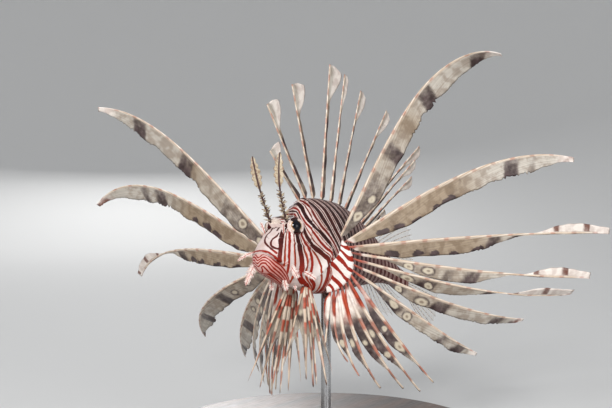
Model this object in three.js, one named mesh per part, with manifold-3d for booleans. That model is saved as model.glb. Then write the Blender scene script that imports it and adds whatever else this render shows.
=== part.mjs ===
// Red lionfish as a still, life-size model, held by a rod on a round plinth.
// Millimetres, +Z up. The stand rests on z = 0 and the fish swims toward -Y, nose a little up.
import * as THREE from "three";
import { mergeVertices } from "three/addons/utils/BufferGeometryUtils.js";
import Module from "manifold-3d";

const wasm = await Module();
wasm.setup();

// Driving sizes of the fish: s runs back from the snout, w to the fish's left, h up.
const STANDARD_LENGTH = 124;
const PIVOT_S = 52;
const PIVOT_HEIGHT = 100;
const PITCH = THREE.MathUtils.degToRad(8.5);
const BANK = THREE.MathUtils.degToRad(3.3);
const TAIL_SAG = 9;
const SAG_START = 55;
const SAG_RUN = 65;
const GAP = 0.3;
const MEMBRANE = 0.3;
const LEFT = 1;
const RIGHT = -1;

// Driving sizes of the stand.
const PLINTH_RADIUS = 85;
const PLINTH_HEIGHT = 12;
const PLINTH_EDGE = 1.5;
const ROD_RADIUS = 2.5;

const SKIN = { color: 0xb9877c, roughness: 0.45, metalness: 0 };
const RAYS = { color: 0xb5a48f, roughness: 0.5, metalness: 0 };
const CLEAR = { color: 0x9a938a, roughness: 0.4, metalness: 0 };
const EYE = { color: 0x1a1c2a, roughness: 0.08, metalness: 0 };
const WOOD = { color: 0x3b2418, roughness: 0.35, metalness: 0 };
const STEEL = { color: 0xb8babd, roughness: 0.3, metalness: 1 };

// Pose: the fish's own axes, turned nose-up and banked, in the model's frame.
const FORWARD = new THREE.Vector3(0, -Math.cos(PITCH), Math.sin(PITCH));
const LEVEL_LEFT = new THREE.Vector3(1, 0, 0);
const LEVEL_UP = new THREE.Vector3(0, Math.sin(PITCH), Math.cos(PITCH));
const TO_LEFT = LEVEL_LEFT.clone().multiplyScalar(Math.cos(BANK))
  .addScaledVector(LEVEL_UP, Math.sin(BANK));
const TO_UP = LEVEL_UP.clone().multiplyScalar(Math.cos(BANK))
  .addScaledVector(LEVEL_LEFT, -Math.sin(BANK));

function fish(s, w, h) {
  return new THREE.Vector3(s, w, h);
}

function inModel(p) {
  return new THREE.Vector3(0, 0, PIVOT_HEIGHT)
    .addScaledVector(FORWARD, PIVOT_S - p.x)
    .addScaledVector(TO_LEFT, p.y)
    .addScaledVector(TO_UP, p.z);
}

function sag(s) {
  return -TAIL_SAG * (Math.max(0, s - SAG_START) / SAG_RUN) ** 2;
}

// A smooth curve through a few stations, as a function of s.
function profile(stations) {
  const slope = (i) => {
    const a = stations[Math.max(0, i - 1)];
    const b = stations[Math.min(stations.length - 1, i + 1)];
    return (b[1] - a[1]) / (b[0] - a[0]);
  };
  return (s) => {
    const last = stations.length - 2;
    let i = stations.findIndex((station, k) => k > 0 && s <= station[0]) - 1;
    i = i < 0 ? last : i;
    const [s0, y0] = stations[i];
    const [s1, y1] = stations[i + 1];
    const d = s1 - s0;
    const t = Math.min(1, Math.max(0, (s - s0) / d));
    const u = 1 - t;
    return y0 * u * u * (1 + 2 * t) + y1 * t * t * (3 - 2 * t)
      + d * t * u * (u * slope(i) - t * slope(i + 1));
  };
}

// The body's midline outline, its half width and the height of its widest line.
const BACK_LINE = profile([[1.5, -7.4], [3, -3], [4.5, -0.8], [7, 3], [10, 6.6], [13, 9.4],
  [17, 12.2], [20, 14.6], [24, 19], [30, 25], [37, 26.6], [46, 27.2], [60, 26.2], [72, 22.8],
  [85, 18.2], [100, 11.8], [112, 7], [124, 5.6]]);
const BELLY_LINE = profile([[1.5, -8], [3, -10.4], [5, -12.2], [8, -13.6], [13, -15.2], [20, -16.8],
  [30, -18.4], [42, -20], [55, -18.8], [70, -15.6], [85, -11.2], [100, -7], [112, -5.4],
  [124, -5.6]]);
const HALF_WIDTH = profile([[1.5, 1], [3, 4.2], [4.5, 5.7], [7, 7.1], [10, 8.1], [13, 8.9],
  [17, 9.8], [24, 11.3], [32, 12.5], [43, 13], [52, 12.7], [62, 11.4], [72, 9.7], [85, 7.3],
  [100, 4.8], [112, 3.3], [124, 2.5]]);
const WIDEST = profile([[1.5, -7.7], [4, -6.6], [9, -5], [16, -3], [26, -2], [36, -1.5], [46, 0],
  [60, 1], [80, 0.6], [124, 0]]);
const BACK_FULLNESS = profile([[1.5, 2], [6, 2.5], [16, 2.4], [24, 1.9], [46, 1.8], [80, 1.8],
  [124, 2]]);
const BELLY_FULLNESS = 2.1;

function power(value, fullness) {
  return Math.sign(value) * Math.abs(value) ** (2 / fullness);
}

// A point of the body's skin: turn 0 is the back, a quarter turn the left side.
function skin(s, turn, swell = 0) {
  const c = Math.cos(turn);
  const middle = WIDEST(s);
  const fullness = c > 0 ? BACK_FULLNESS(s) : BELLY_FULLNESS;
  const reach = (c > 0 ? BACK_LINE(s) - middle : middle - BELLY_LINE(s)) + swell;
  const w = (HALF_WIDTH(s) + swell) * power(Math.sin(turn), fullness);
  return fish(s, w, middle + sag(s) + reach * power(c, fullness));
}

// A closed solid through rings of the same count; the ends are closed by strips across.
function loft(rings) {
  const count = rings[0].length;
  const index = [];
  for (let r = 0; r + 1 < rings.length; r += 1) {
    for (let i = 0; i < count; i += 1) {
      const a = r * count + i;
      const b = r * count + (i + 1) % count;
      index.push(a, b, a + count, b, b + count, a + count);
    }
  }
  const end = (rings.length - 1) * count;
  for (let i = 0; i + 1 < count - 1 - i; i += 1) {
    const j = count - 1 - i;
    index.push(i, j, i + 1, end + i, end + i + 1, end + j);
    if (j - 1 > i + 1) {
      index.push(i + 1, j, j - 1, end + i + 1, end + j - 1, end + j);
    }
  }
  const geometry = new THREE.BufferGeometry().setFromPoints(rings.flat());
  geometry.setIndex(index);
  return geometry;
}

function signedVolume(geometry) {
  const p = geometry.getAttribute("position");
  const corner = (i) => new THREE.Vector3().fromBufferAttribute(p, geometry.index.getX(i));
  let sum = 0;
  for (let i = 0; i < geometry.index.count; i += 3) {
    sum += corner(i).dot(corner(i + 1).cross(corner(i + 2)));
  }
  return sum;
}

// A manifold solid from a closed geometry, turned so that its faces look out.
function solid(geometry) {
  const bare = geometry.clone();
  bare.deleteAttribute("normal");
  bare.deleteAttribute("uv");
  const merged = mergeVertices(bare, 1e-4);
  const triangles = Uint32Array.from(merged.index.array);
  if (signedVolume(merged) < 0) {
    for (let i = 0; i < triangles.length; i += 3) {
      triangles.subarray(i, i + 2).reverse();
    }
  }
  return new wasm.Manifold(new wasm.Mesh({
    numProp: 3,
    vertProperties: Float32Array.from(merged.getAttribute("position").array),
    triVerts: triangles,
  }));
}

// Slivers that cutting leaves are closed up within this many millimetres.
const SLIVER = 0.01;

function geometryOf(manifold) {
  const mesh = manifold.simplify(SLIVER).getMesh();
  const geometry = new THREE.BufferGeometry();
  geometry.setAttribute("position", new THREE.BufferAttribute(mesh.vertProperties, 3));
  geometry.setIndex(new THREE.BufferAttribute(mesh.triVerts, 1));
  return geometry;
}

const model = new THREE.Group();

// A named mesh of a solid that is still in the fish's own axes.
function addFlesh(name, manifold, look) {
  const geometry = geometryOf(manifold);
  const p = geometry.getAttribute("position");
  for (let i = 0; i < p.count; i += 1) {
    const q = inModel(new THREE.Vector3().fromBufferAttribute(p, i));
    p.setXYZ(i, q.x, q.y, q.z);
  }
  const flipped = signedVolume(geometry) < 0;
  const index = geometry.index.array;
  for (let i = 0; flipped && i < index.length; i += 3) {
    index.subarray(i, i + 2).reverse();
  }
  addMesh(name, geometry, look);
}

function addMesh(name, geometry, look) {
  const mesh = new THREE.Mesh(geometry, new THREE.MeshStandardMaterial(look));
  mesh.name = name;
  model.add(mesh);
}

// Body: one loft, cut into head, jaw, gill covers, trunk and tail stem.
const BODY_STATIONS = [1.6, 2.3, 3.3, 4.8, 6.5, 9, 12, 15.5, 20, 25, 30, 36, 43, 50, 58, 66, 75, 84,
  93, 103, 113, STANDARD_LENGTH];
const BODY_SIDES = 16;

function body(swell) {
  const rings = BODY_STATIONS.map((s, k) => {
    const end = k === 0 ? -swell : k === BODY_STATIONS.length - 1 ? swell : 0;
    const ring = [];
    for (let i = 0; i < BODY_SIDES; i += 1) {
      const p = skin(s, (i + 0.5) / BODY_SIDES * 2 * Math.PI, swell);
      ring.push(p.setX(s + end));
    }
    return ring;
  });
  return solid(loft(rings));
}

function ball(centre, radius, sides = 12) {
  const geometry = new THREE.SphereGeometry(radius, sides, Math.round(sides * 0.6));
  geometry.rotateX(Math.PI / 2);
  geometry.translate(centre.x, centre.y, centre.z);
  return solid(geometry);
}

// A block with a side outline in s and h, between two distances to the left.
function sideBlock(outline, from, to) {
  const shape = new THREE.Shape(outline.map(([s, h]) => new THREE.Vector2(s, h)));
  const geometry = new THREE.ExtrudeGeometry(shape, { depth: to - from, bevelEnabled: false });
  geometry.rotateX(Math.PI / 2);
  geometry.translate(0, to, 0);
  return solid(geometry);
}

const WIDE = 60;
const EYE_S = 19;
const EYE_H = 10.2;
const EYE_W = 5.8;
const EYE_RADIUS = 4.7;
const BROW_RADIUS = 5.4;
const FLAP_DEPTH = 1.8;
const HEAD_END = 36;
const TAIL_START = 95;
const eyeCentre = (side) => fish(EYE_S, side * EYE_W, EYE_H);

const fullBody = body(0);
const nearBody = body(GAP);
const eyes = [LEFT, RIGHT].map((side) => ball(eyeCentre(side), EYE_RADIUS));
const sockets = [LEFT, RIGHT].map((side) => ball(eyeCentre(side), EYE_RADIUS + GAP));
const browCentre = (side) => fish(EYE_S + 0.4, side * (EYE_W - 0.9), EYE_H);
const brows = [LEFT, RIGHT].map((side) => ball(browCentre(side), BROW_RADIUS));

const JAW_OUTLINE = [[-5, -2.4], [3.6, -2.4], [6, -4.2], [10, -7.2], [14, -10.8], [19.5, -15.2],
  [20.5, -24], [-5, -24]];
const GILL_OUTLINE = [[26, 7], [30, 8.6], [34.4, 7], [35.6, 3], [35.4, -3], [33.4, -8.6],
  [29.4, -12], [26.4, -12], [24.8, -8], [24.2, 0]];

function grown(outline, by) {
  const s0 = outline.reduce((sum, p) => sum + p[0], 0) / outline.length;
  const h0 = outline.reduce((sum, p) => sum + p[1], 0) / outline.length;
  return outline.map(([s, h]) => {
    const reach = Math.hypot(s - s0, h - h0);
    return [s + (s - s0) / reach * by, h + (h - h0) / reach * by];
  });
}

const inside = body(-FLAP_DEPTH);
const deepInside = body(-FLAP_DEPTH - GAP);
const jawBlock = sideBlock(JAW_OUTLINE, -WIDE, WIDE);
const jawRoom = sideBlock(grown(JAW_OUTLINE, GAP), -WIDE, WIDE);
const FLAP_SIDES = [[3, WIDE], [-WIDE, -3]];
const flaps = FLAP_SIDES.map(([from, to]) => (
  sideBlock(GILL_OUTLINE, from, to).intersect(fullBody.subtract(inside))));
const flapRooms = FLAP_SIDES.map(([from, to]) => (
  sideBlock(grown(GILL_OUTLINE, GAP * 1.4), from, to).subtract(deepInside)));

const span = (from, to) => sideBlock([[from, -WIDE], [to, -WIDE], [to, WIDE], [from, WIDE]],
  -WIDE, WIDE);
const jaw = fullBody.intersect(jawBlock);
const trunk = fullBody.intersect(span(HEAD_END + GAP, TAIL_START - GAP));
const tailStem = fullBody.intersect(span(TAIL_START, STANDARD_LENGTH + 1));
const head = wasm.Manifold.union([fullBody.intersect(span(-10, HEAD_END)), ...brows])
  .subtract(wasm.Manifold.union([jawRoom, ...sockets, ...flapRooms]));

// A path that leaves its base at a lift above level and a sweep from straight back, and bends.
const STEPS = 40;

function curve(base, side, { length, lift, sweep, bend = 0, ease = 2, swing = 0 }) {
  const points = [base.clone()];
  for (let k = 0; k < STEPS; k += 1) {
    const t = (k + 0.5) / STEPS;
    const up = THREE.MathUtils.degToRad(lift + bend * t ** ease);
    const out = THREE.MathUtils.degToRad(sweep + swing * t);
    const step = fish(Math.cos(up) * Math.cos(out), side * Math.cos(up) * Math.sin(out),
      Math.sin(up));
    points.push(points[k].clone().addScaledVector(step, length / STEPS));
  }
  return points;
}

function at(path, t) {
  const x = Math.min(0.9999, Math.max(0, t)) * (path.length - 1);
  const i = Math.floor(x);
  return path[i].clone().lerp(path[i + 1], x - i);
}

function along(path, t) {
  return at(path, t + 0.02).sub(at(path, t - 0.02)).normalize();
}

function nearest(path, p) {
  return Math.min(...path.map((q) => q.distanceTo(p)));
}

// A long thin blade: at each station, three corners across are mirrored through its thickness.
function strap(path, stations, toward, corners) {
  return solid(loft(stations.map((t) => {
    const tangent = along(path, t);
    const across = toward(t).addScaledVector(tangent, -toward(t).dot(tangent)).normalize();
    const normal = tangent.clone().cross(across);
    const centre = at(path, t);
    const half = corners(t).map(([x, y]) => [
      centre.clone().addScaledVector(across, x).addScaledVector(normal, y),
      centre.clone().addScaledVector(across, x).addScaledVector(normal, -y),
    ]);
    return [...half.map((pair) => pair[0]), ...half.map((pair) => pair[1]).reverse()];
  })));
}

function smooth(from, to, t) {
  return THREE.MathUtils.smoothstep(t, from, to);
}

// Pectoral fins: a fleshy lobe on each side, and fourteen rays fanned from its edge.
const FIN_RAYS = 14;
const LENGTHS = [128, 128, 128, 120, 112, 98, 84, 71, 67, 61, 54, 43, 35, 25];
const BLADES = [10, 9.5, 8, 7, 6.5, 6.5, 6, 5.5, 5, 4.5, 4, 3.5, 3, 3];
const FLAGGED_RAYS = [3, 4, 5];
const FLAG_WIDTH = 4.6;
const RAY_STATIONS = [0, 0.07, 0.16, 0.27, 0.38, 0.49, 0.6, 0.69, 0.77, 0.85, 0.93, 1];
const SHORT_STATIONS = [0, 0.15, 0.32, 0.5, 0.68, 0.85, 1];
const LAST_LONG_RAY = 8;
const FINS = {
  left: {
    side: LEFT, hinge: fish(43.5, 6, -5), reach: 15, root: 3, depth: 0, facing: 50,
    bulge: 7,
    angle: (k) => 62 - 13.8 * k + 0.24 * k * k,
    rays: [
      { lift: 66, sweep: 61, bend: -92, ease: 3.9, swing: 22 },
      { lift: 35, sweep: 52, bend: -43, ease: 2.6, swing: -14 },
      { lift: 8, sweep: 53, bend: -6, ease: 2, swing: -6 },
      { lift: -7, sweep: 52, bend: 10, ease: 1.3, swing: -13 },
      { lift: -13, sweep: 53, bend: 22, ease: 2, swing: -18 },
      { lift: -20, sweep: 49, bend: 21, ease: 1.9, swing: -32 },
      { lift: -31, sweep: 46, bend: 16, ease: 2.5, swing: -40 },
      { lift: -50, sweep: 46, bend: 16, ease: 2.2, swing: -40 },
      { lift: -59, sweep: 49, bend: 20, ease: 1.6, swing: -36 },
      { lift: -65, sweep: 49, bend: 30, ease: 1.8, swing: -40 },
      { lift: -73, sweep: 50, bend: 34, ease: 2.4, swing: -40 },
      { lift: -81, sweep: 52, bend: 30, ease: 2.6, swing: -20 },
      { lift: -88, sweep: 52, bend: 42, ease: 2.4, swing: 0 },
      { lift: -70, sweep: 150, bend: -14, ease: 2, swing: 0 },
    ],
  },
  right: {
    side: RIGHT, hinge: fish(40, 13.5, -7.5), reach: 9, root: 1, depth: 6, facing: 95,
    bulge: 3,
    angle: (k) => 50 - 12.6 * k,
    rays: [
      { lift: 44, sweep: 114, bend: -47, ease: 4.5, swing: 14 },
      { lift: 28, sweep: 107, bend: -78, ease: 4, swing: -8 },
      { lift: 7, sweep: 101, bend: -38, ease: 2.5, swing: -39 },
      { lift: -19, sweep: 98, bend: -2, ease: 2, swing: -70 },
      { lift: -28, sweep: 70, bend: 6, ease: 2, swing: -40 },
      { lift: -36, sweep: 64, bend: 8, ease: 2, swing: -36 },
      { lift: -46, sweep: 62, bend: 10, ease: 2, swing: -34 },
      { lift: -56, sweep: 60, bend: 12, ease: 2, swing: -32 },
      { lift: -65, sweep: 60, bend: 14, ease: 2, swing: -30 },
      { lift: -74, sweep: 62, bend: 16, ease: 2, swing: -28 },
      { lift: -83, sweep: 64, bend: 18, ease: 2, swing: -24 },
      { lift: -86, sweep: 90, bend: 3, ease: 2, swing: 0 },
      { lift: -88, sweep: 105, bend: 0, ease: 2, swing: 0 },
      { lift: -89, sweep: 160, bend: 0, ease: 2, swing: 0 },
    ],
  },
};

function heading(lift, sweep, side) {
  return curve(fish(0, 0, 0), side, { length: 1, lift, sweep })[STEPS];
}

function finPaths({ side, hinge, reach, facing, angle, rays }) {
  return rays.map((ray, k) => {
    const base = fish(hinge.x, side * hinge.y, hinge.z);
    base.addScaledVector(heading(angle(k), facing, side), reach);
    return curve(base, side, { length: LENGTHS[k], ...ray });
  });
}

// The lobe is a fan of sections from a pivot, which may lie deeper than the hinge.
function lobe({ side, hinge, reach, root, depth, facing, bulge, angle }, swell) {
  const normal = heading(0, facing + 90, side);
  const centre = fish(hinge.x, side * hinge.y, hinge.z);
  const first = angle(0) + 7;
  const last = angle(FIN_RAYS - 1) - 7;
  const pivot = centre.clone().addScaledVector(heading((first + last) / 2, facing, side), -depth);
  const rings = [];
  for (let k = 0; k <= 10; k += 1) {
    const edge = centre.clone()
      .addScaledVector(heading(first + (last - first) * k / 10, facing, side), reach);
    const far = edge.distanceTo(pivot);
    const out = edge.sub(pivot).normalize();
    const fat = 0.5 + 0.5 * Math.sin(Math.PI * k / 10);
    const section = [[root, bulge, 2.4], [far * 0.6, 1 + bulge * 0.35, 2.4],
      [far - 2 * GAP, 1.2, 1.2]];
    const half = [1, 2].map((face) => section.map((corner) => pivot.clone()
      .addScaledVector(out, corner[0] + (corner[0] > far / 2 ? swell : 0))
      .addScaledVector(normal, (face === 1 ? 1 : -1) * (corner[face] * fat + swell))));
    rings.push([...half[0], ...half[1].reverse()]);
  }
  return solid(loft(rings));
}

function rodRadius(t) {
  return 0.6 + 0.35 * smooth(0, 0.12, t) - 0.5 * smooth(0.15, 1, t);
}

// A ray's blade is a rod with a thin membrane on the side of the next ray down.
// On the flagged rays the membrane ends early, and a flag stands on the upper side of the tip.
function rayBlade(paths, k) {
  const path = paths[k];
  const next = paths[k + 1];
  const before = paths[k - 1];
  const flagged = FLAGGED_RAYS.includes(k + 1);
  const toward = (t) => (next ? at(next, t).sub(at(path, t)) : at(path, t).sub(at(before, t)));
  const full = (t) => BLADES[k] * (smooth(-0.1, 0.25, t) - 0.8 * smooth(0.75, 1.04, t));
  const wide = (t) => {
    const free = flagged ? full(t) * (1 - 0.9 * smooth(0.45, 0.68, t)) : full(t);
    const room = next ? nearest(next, at(path, t)) - rodRadius(t) - 0.5 : free;
    return Math.max(rodRadius(t) + 0.25, Math.min(free, room));
  };
  const flag = (t) => 0.25 + FLAG_WIDTH * smooth(0.7, 0.84, t) - 2 * smooth(0.9, 1, t);
  const stations = k < LAST_LONG_RAY ? RAY_STATIONS : SHORT_STATIONS;
  return strap(path, stations, toward, (t) => {
    const r = rodRadius(t);
    return flagged
      ? [[-0.8 * r - flag(t), MEMBRANE], [0, r], [wide(t), MEMBRANE]]
      : [[-0.8 * r, r], [r, MEMBRANE], [wide(t), MEMBRANE]];
  });
}

// Dorsal spines: base along the back, length, lean behind upright and tilt to the left.
const SPINES = [
  { s: 29.6, length: 32, lean: -48, tilt: 0, flag: 4.6 },
  { s: 34.1, length: 52.5, lean: -37.7, tilt: 0, flag: 5 },
  { s: 39.6, length: 58, lean: -20.7, tilt: 0, flag: 5 },
  { s: 45.8, length: 70.6, lean: 1.4, tilt: 0, flag: 5.6 },
  { s: 53.1, length: 68.8, lean: 5.9, tilt: 0, flag: 2 },
  { s: 59.7, length: 65.4, lean: 13.2, tilt: 0, flag: 3.6 },
  { s: 64.8, length: 68, lean: 29.9, tilt: 0, flag: 3.4 },
  { s: 69.3, length: 64, lean: 42, tilt: 3, flag: 3 },
  { s: 75.4, length: 66, lean: 45, tilt: 8.7, flag: 3 },
  { s: 78.8, length: 55, lean: 44, tilt: 12.5, flag: 2.8 },
  { s: 82, length: 45, lean: 46, tilt: 15, flag: 2.8 },
  { s: 85, length: 20, lean: 48, tilt: 3, flag: 1.8 },
  { s: 88.4, length: 19, lean: 56, tilt: 0, flag: 1.8 },
];
const SPINE_STATIONS = [0, 0.12, 0.3, 0.5, 0.68, 0.8, 0.88, 0.95, 1];
const SPINE_RADIUS = 0.75;
const SPINE_ROOT = 1.2;

function spine({ s, length, lean, tilt, flag }) {
  const base = fish(s, 0, BACK_LINE(s) + sag(s) - SPINE_ROOT);
  const path = curve(base, LEFT, { length, lift: 90 - lean, sweep: tilt });
  const radius = (t) => SPINE_RADIUS - 0.4 * t;
  const web = (t) => 1.9 - 0.9 * smooth(0, 0.5, t);
  const wide = (t) => web(t) + flag * smooth(0.72, 0.9, t) - 0.6 * flag * smooth(0.94, 1, t);
  return strap(path, SPINE_STATIONS, () => fish(1, 0, 0), (t) => [
    [-0.8 * radius(t), radius(t)], [radius(t), MEMBRANE], [wide(t), MEMBRANE]]);
}

// A fan of soft rays in one sheet, notched between the rays.
const SOFT_FIN = { thickness: 0.8, notch: 0.12, root: 1.5 };
const TAIL_FIN = { thickness: 0.8, notch: 0.05 };
const PELVIC_FIN = { thickness: 0.9, notch: 0.3 };

function fan(paths, { thickness, notch }) {
  const columns = [];
  const rows = [0, 0.35, 0.7, 1];
  paths.forEach((path, k) => {
    columns.push(rows.map((t) => at(path, t)));
    if (k + 1 < paths.length) {
      columns.push(rows.map((t) => at(path, t * (1 - notch)).lerp(
        at(paths[k + 1], t * (1 - notch)), 0.5)));
    }
  });
  const rings = columns.map((column, j) => {
    const beside = columns[Math.max(0, j - 1)];
    const beyond = columns[Math.min(columns.length - 1, j + 1)];
    const face = column.map((p, i) => {
      const up = column[Math.min(rows.length - 1, i + 1)].clone().sub(column[Math.max(0, i - 1)]);
      const over = beyond[i].clone().sub(beside[i]);
      return up.cross(over).normalize().multiplyScalar(thickness / 2);
    });
    return [...column.map((p, i) => p.clone().add(face[i])),
      ...column.map((p, i) => p.clone().sub(face[i])).reverse()];
  });
  return solid(loft(rings));
}

function rowOfRays(count, place) {
  return Array.from({ length: count }, (unused, k) => place(k / (count - 1)));
}

function mix(a, b, x) {
  return a + (b - a) * x;
}

const softDorsal = rowOfRays(7, (x) => {
  const s = mix(92.5, 110, x);
  return curve(fish(s, 0, BACK_LINE(s) + sag(s) - SOFT_FIN.root), LEFT,
    { length: mix(34, 19, x * x), lift: mix(30, 2, x), sweep: 0, bend: -10 });
});
const anal = rowOfRays(7, (x) => {
  const s = mix(84, 103, x);
  return curve(fish(s, 0, BELLY_LINE(s) + sag(s) + SOFT_FIN.root), LEFT,
    { length: mix(15, 30, Math.sin(Math.PI * Math.min(1, x * 1.2) * 0.55)) - 12 * x ** 3,
      lift: mix(-62, -32, x), sweep: 0, bend: 12 });
});
const caudal = rowOfRays(9, (x) => {
  const s = STANDARD_LENGTH - 1;
  return curve(fish(s, 0, sag(s) + mix(5, -5, x)), LEFT,
    { length: 37 - 5 * (2 * x - 1) ** 2, lift: mix(8, -42, x), sweep: 0 });
});

// Pelvic fins: one spine and five soft rays each, hanging below the breast.
function pelvic(side, base, first, last, dip, lengths) {
  return lengths.map((length, k) => {
    const x = k / (lengths.length - 1);
    return curve(fish(base.x + 5 * x, side * base.y, base.z), side,
      { length, lift: mix(first.lift, last.lift, x) - dip * Math.sin(Math.PI * x),
        sweep: mix(first.sweep, last.sweep, x), bend: -4, ease: 1.5 });
  });
}

const pelvicLeft = pelvic(LEFT, fish(29, 5, -17), { lift: -56, sweep: 157 },
  { lift: -66, sweep: 13 }, 18, [45, 46, 48, 47, 48, 46]);
const pelvicRight = pelvic(RIGHT, fish(29, 4.5, -16), { lift: -69, sweep: 142 },
  { lift: -74, sweep: 12 }, 9, [51, 52, 53, 54, 53, 50]);

// Feelers over the eyes, and the leafy tags of the snout, jaw and cheeks.
const FEELER_STATIONS = [0, 0.2, 0.4, 0.52, 0.6, 0.7, 0.82, 0.93, 1];
const FEELERS = {
  left: { side: LEFT, base: fish(15, 5.2, 12), length: 34, lift: 122, sweep: -6, bend: -40,
    ease: 1.4 },
  right: { side: RIGHT, base: fish(15, 5, 12), length: 33, lift: 117, sweep: -18, bend: -12,
    ease: 1.2 },
};

function leafWidth(t, root, leaf, start) {
  const x = Math.min(1, Math.max(0, (t - start) / (1 - start)));
  return root + leaf * Math.sin(Math.PI * x ** 0.8) ** 0.8;
}

function feeler({ side, base, ...shape }) {
  const path = curve(fish(base.x, side * base.y, base.z), side, shape);
  return strap(path, FEELER_STATIONS, () => fish(0.65, 0.76, 0), (t) => {
    const wide = leafWidth(t, 1.3 - 0.9 * t, 2.6, 0.52);
    return [[-wide, MEMBRANE], [0, 0.75 - 0.35 * t], [wide, MEMBRANE]];
  });
}

const TAG_STATIONS = [0, 0.3, 0.6, 0.85, 1];
const JAW_TAGS = [
  { base: fish(16, 4, -14), tip: fish(18, 4.6, -20), leaf: 1.3 },
  { base: fish(16, -4, -14), tip: fish(18, -4.6, -20), leaf: 1.3 },
];
const HEAD_TAGS = [
  { base: fish(14.6, 7.6, -7), tip: fish(18.8, 10.8, -14), leaf: 2 },
  { base: fish(9.6, -6.8, -4.6), tip: fish(4.6, -9.4, -18.6), leaf: 2.2 },
  { base: fish(12, 7, -3.6), tip: fish(11.8, 9.4, -8.4), leaf: 0.5 },
  { base: fish(5.2, -4.6, -2.4), tip: fish(-3.2, -8, -7.6), leaf: 0.9 },
  { base: fish(23.4, 9.4, -10.4), tip: fish(27.6, 14.4, -14), leaf: 1.3 },
  { base: fish(23.4, -9.4, -10.4), tip: fish(27.6, -14.4, -14), leaf: 1.3 },
  { base: fish(23, 4.4, -15), tip: fish(24.4, 4.8, -19.6), leaf: 0.5 },
  { base: fish(23, -4.4, -15), tip: fish(24.4, -4.8, -19.6), leaf: 0.5 },
  { base: fish(12.4, 5.8, 6.2), tip: fish(10, 7, 11.8), leaf: 0.4 },
  { base: fish(12.4, -5.8, 6.2), tip: fish(10, -7, 11.8), leaf: 0.4 },
];

function tag({ base, tip, leaf }) {
  return strap([base, tip], TAG_STATIONS, () => fish(0.65, 0.76, 0), (t) => {
    const wide = leafWidth(t, 0.45 - 0.25 * t, leaf, 0.1);
    return [[-wide, MEMBRANE], [0, 0.5 - 0.2 * t], [wide, MEMBRANE]];
  });
}

// Assembly: what grows from the body starts inside it and is trimmed a gap above the skin.
const nearBrows = [LEFT, RIGHT].map((side) => ball(browCentre(side), BROW_RADIUS + GAP));
const nearHead = wasm.Manifold.union([nearBody, ...nearBrows]);
const nearJaw = nearBody.intersect(jawRoom);
const headTags = HEAD_TAGS.map((one) => tag(one).subtract(nearJaw));

addFlesh("head", wasm.Manifold.union([head, ...headTags]), SKIN);
addFlesh("lower_jaw", wasm.Manifold.union([jaw, ...JAW_TAGS.map(tag)]), SKIN);
addFlesh("gill_cover_left", flaps[0], SKIN);
addFlesh("gill_cover_right", flaps[1], SKIN);
addFlesh("trunk", trunk, SKIN);
addFlesh("tail_stem", tailStem, SKIN);
addFlesh("eye_left", eyes[0], EYE);
addFlesh("eye_right", eyes[1], EYE);
addFlesh("tentacle_left", feeler(FEELERS.left).subtract(nearHead), RAYS);
addFlesh("tentacle_right", feeler(FEELERS.right).subtract(nearHead), RAYS);

SPINES.forEach((one, k) => {
  const name = `dorsal_spine_${String(k + 1).padStart(2, "0")}`;
  addFlesh(name, spine(one).subtract(nearBody), RAYS);
});

addFlesh("dorsal_soft", fan(softDorsal, SOFT_FIN).subtract(nearBody), CLEAR);
addFlesh("anal_fin", fan(anal, SOFT_FIN).subtract(nearBody), CLEAR);
addFlesh("caudal_fin", fan(caudal, TAIL_FIN).subtract(nearBody), CLEAR);
addFlesh("pelvic_left", fan(pelvicLeft, PELVIC_FIN).subtract(nearBody), RAYS);
addFlesh("pelvic_right", fan(pelvicRight, PELVIC_FIN).subtract(nearBody), RAYS);

for (const [name, fin] of Object.entries(FINS)) {
  const paths = finPaths(fin);
  const nearLobe = lobe(fin, GAP);
  addFlesh(`pectoral_lobe_${name}`, lobe(fin, 0).subtract(nearBody), SKIN);
  paths.forEach((path, k) => {
    const blade = rayBlade(paths, k).subtract(nearLobe).subtract(nearBody);
    addFlesh(`pectoral_${name}_ray_${String(k + 1).padStart(2, "0")}`, blade, RAYS);
  });
}

// Stand: a round wooden plinth with softened edges, and a steel rod up to the belly.
const plinth = new THREE.LatheGeometry([[0, 0], [PLINTH_RADIUS - PLINTH_EDGE, 0],
  [PLINTH_RADIUS, PLINTH_EDGE], [PLINTH_RADIUS, PLINTH_HEIGHT - PLINTH_EDGE],
  [PLINTH_RADIUS - PLINTH_EDGE, PLINTH_HEIGHT], [0, PLINTH_HEIGHT],
].map(([x, y]) => new THREE.Vector2(x, y)), 36);
plinth.rotateX(Math.PI / 2);
addMesh("stand_base", geometryOf(solid(plinth)), WOOD);

const ROD_OVERRUN = 4;
const rodTop = PIVOT_HEIGHT + BELLY_LINE(PIVOT_S) + ROD_OVERRUN;
const rodFoot = PLINTH_HEIGHT + GAP;
const rod = new THREE.CylinderGeometry(ROD_RADIUS, ROD_RADIUS, rodTop - rodFoot, 16);
rod.rotateX(Math.PI / 2);
rod.translate(0, 0, (rodTop + rodFoot) / 2);

// The swelled body, moved to the model's frame, cuts the rod where it meets the belly.
const belly = solid(geometryOf(nearBody.warp((p) => {
  const q = inModel(new THREE.Vector3(p[0], p[1], p[2]));
  p[0] = q.x;
  p[1] = q.y;
  p[2] = q.z;
})));
addMesh("stand_rod", geometryOf(solid(rod).subtract(belly)), STEEL);

export default model;
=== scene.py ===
import math
import random

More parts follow.
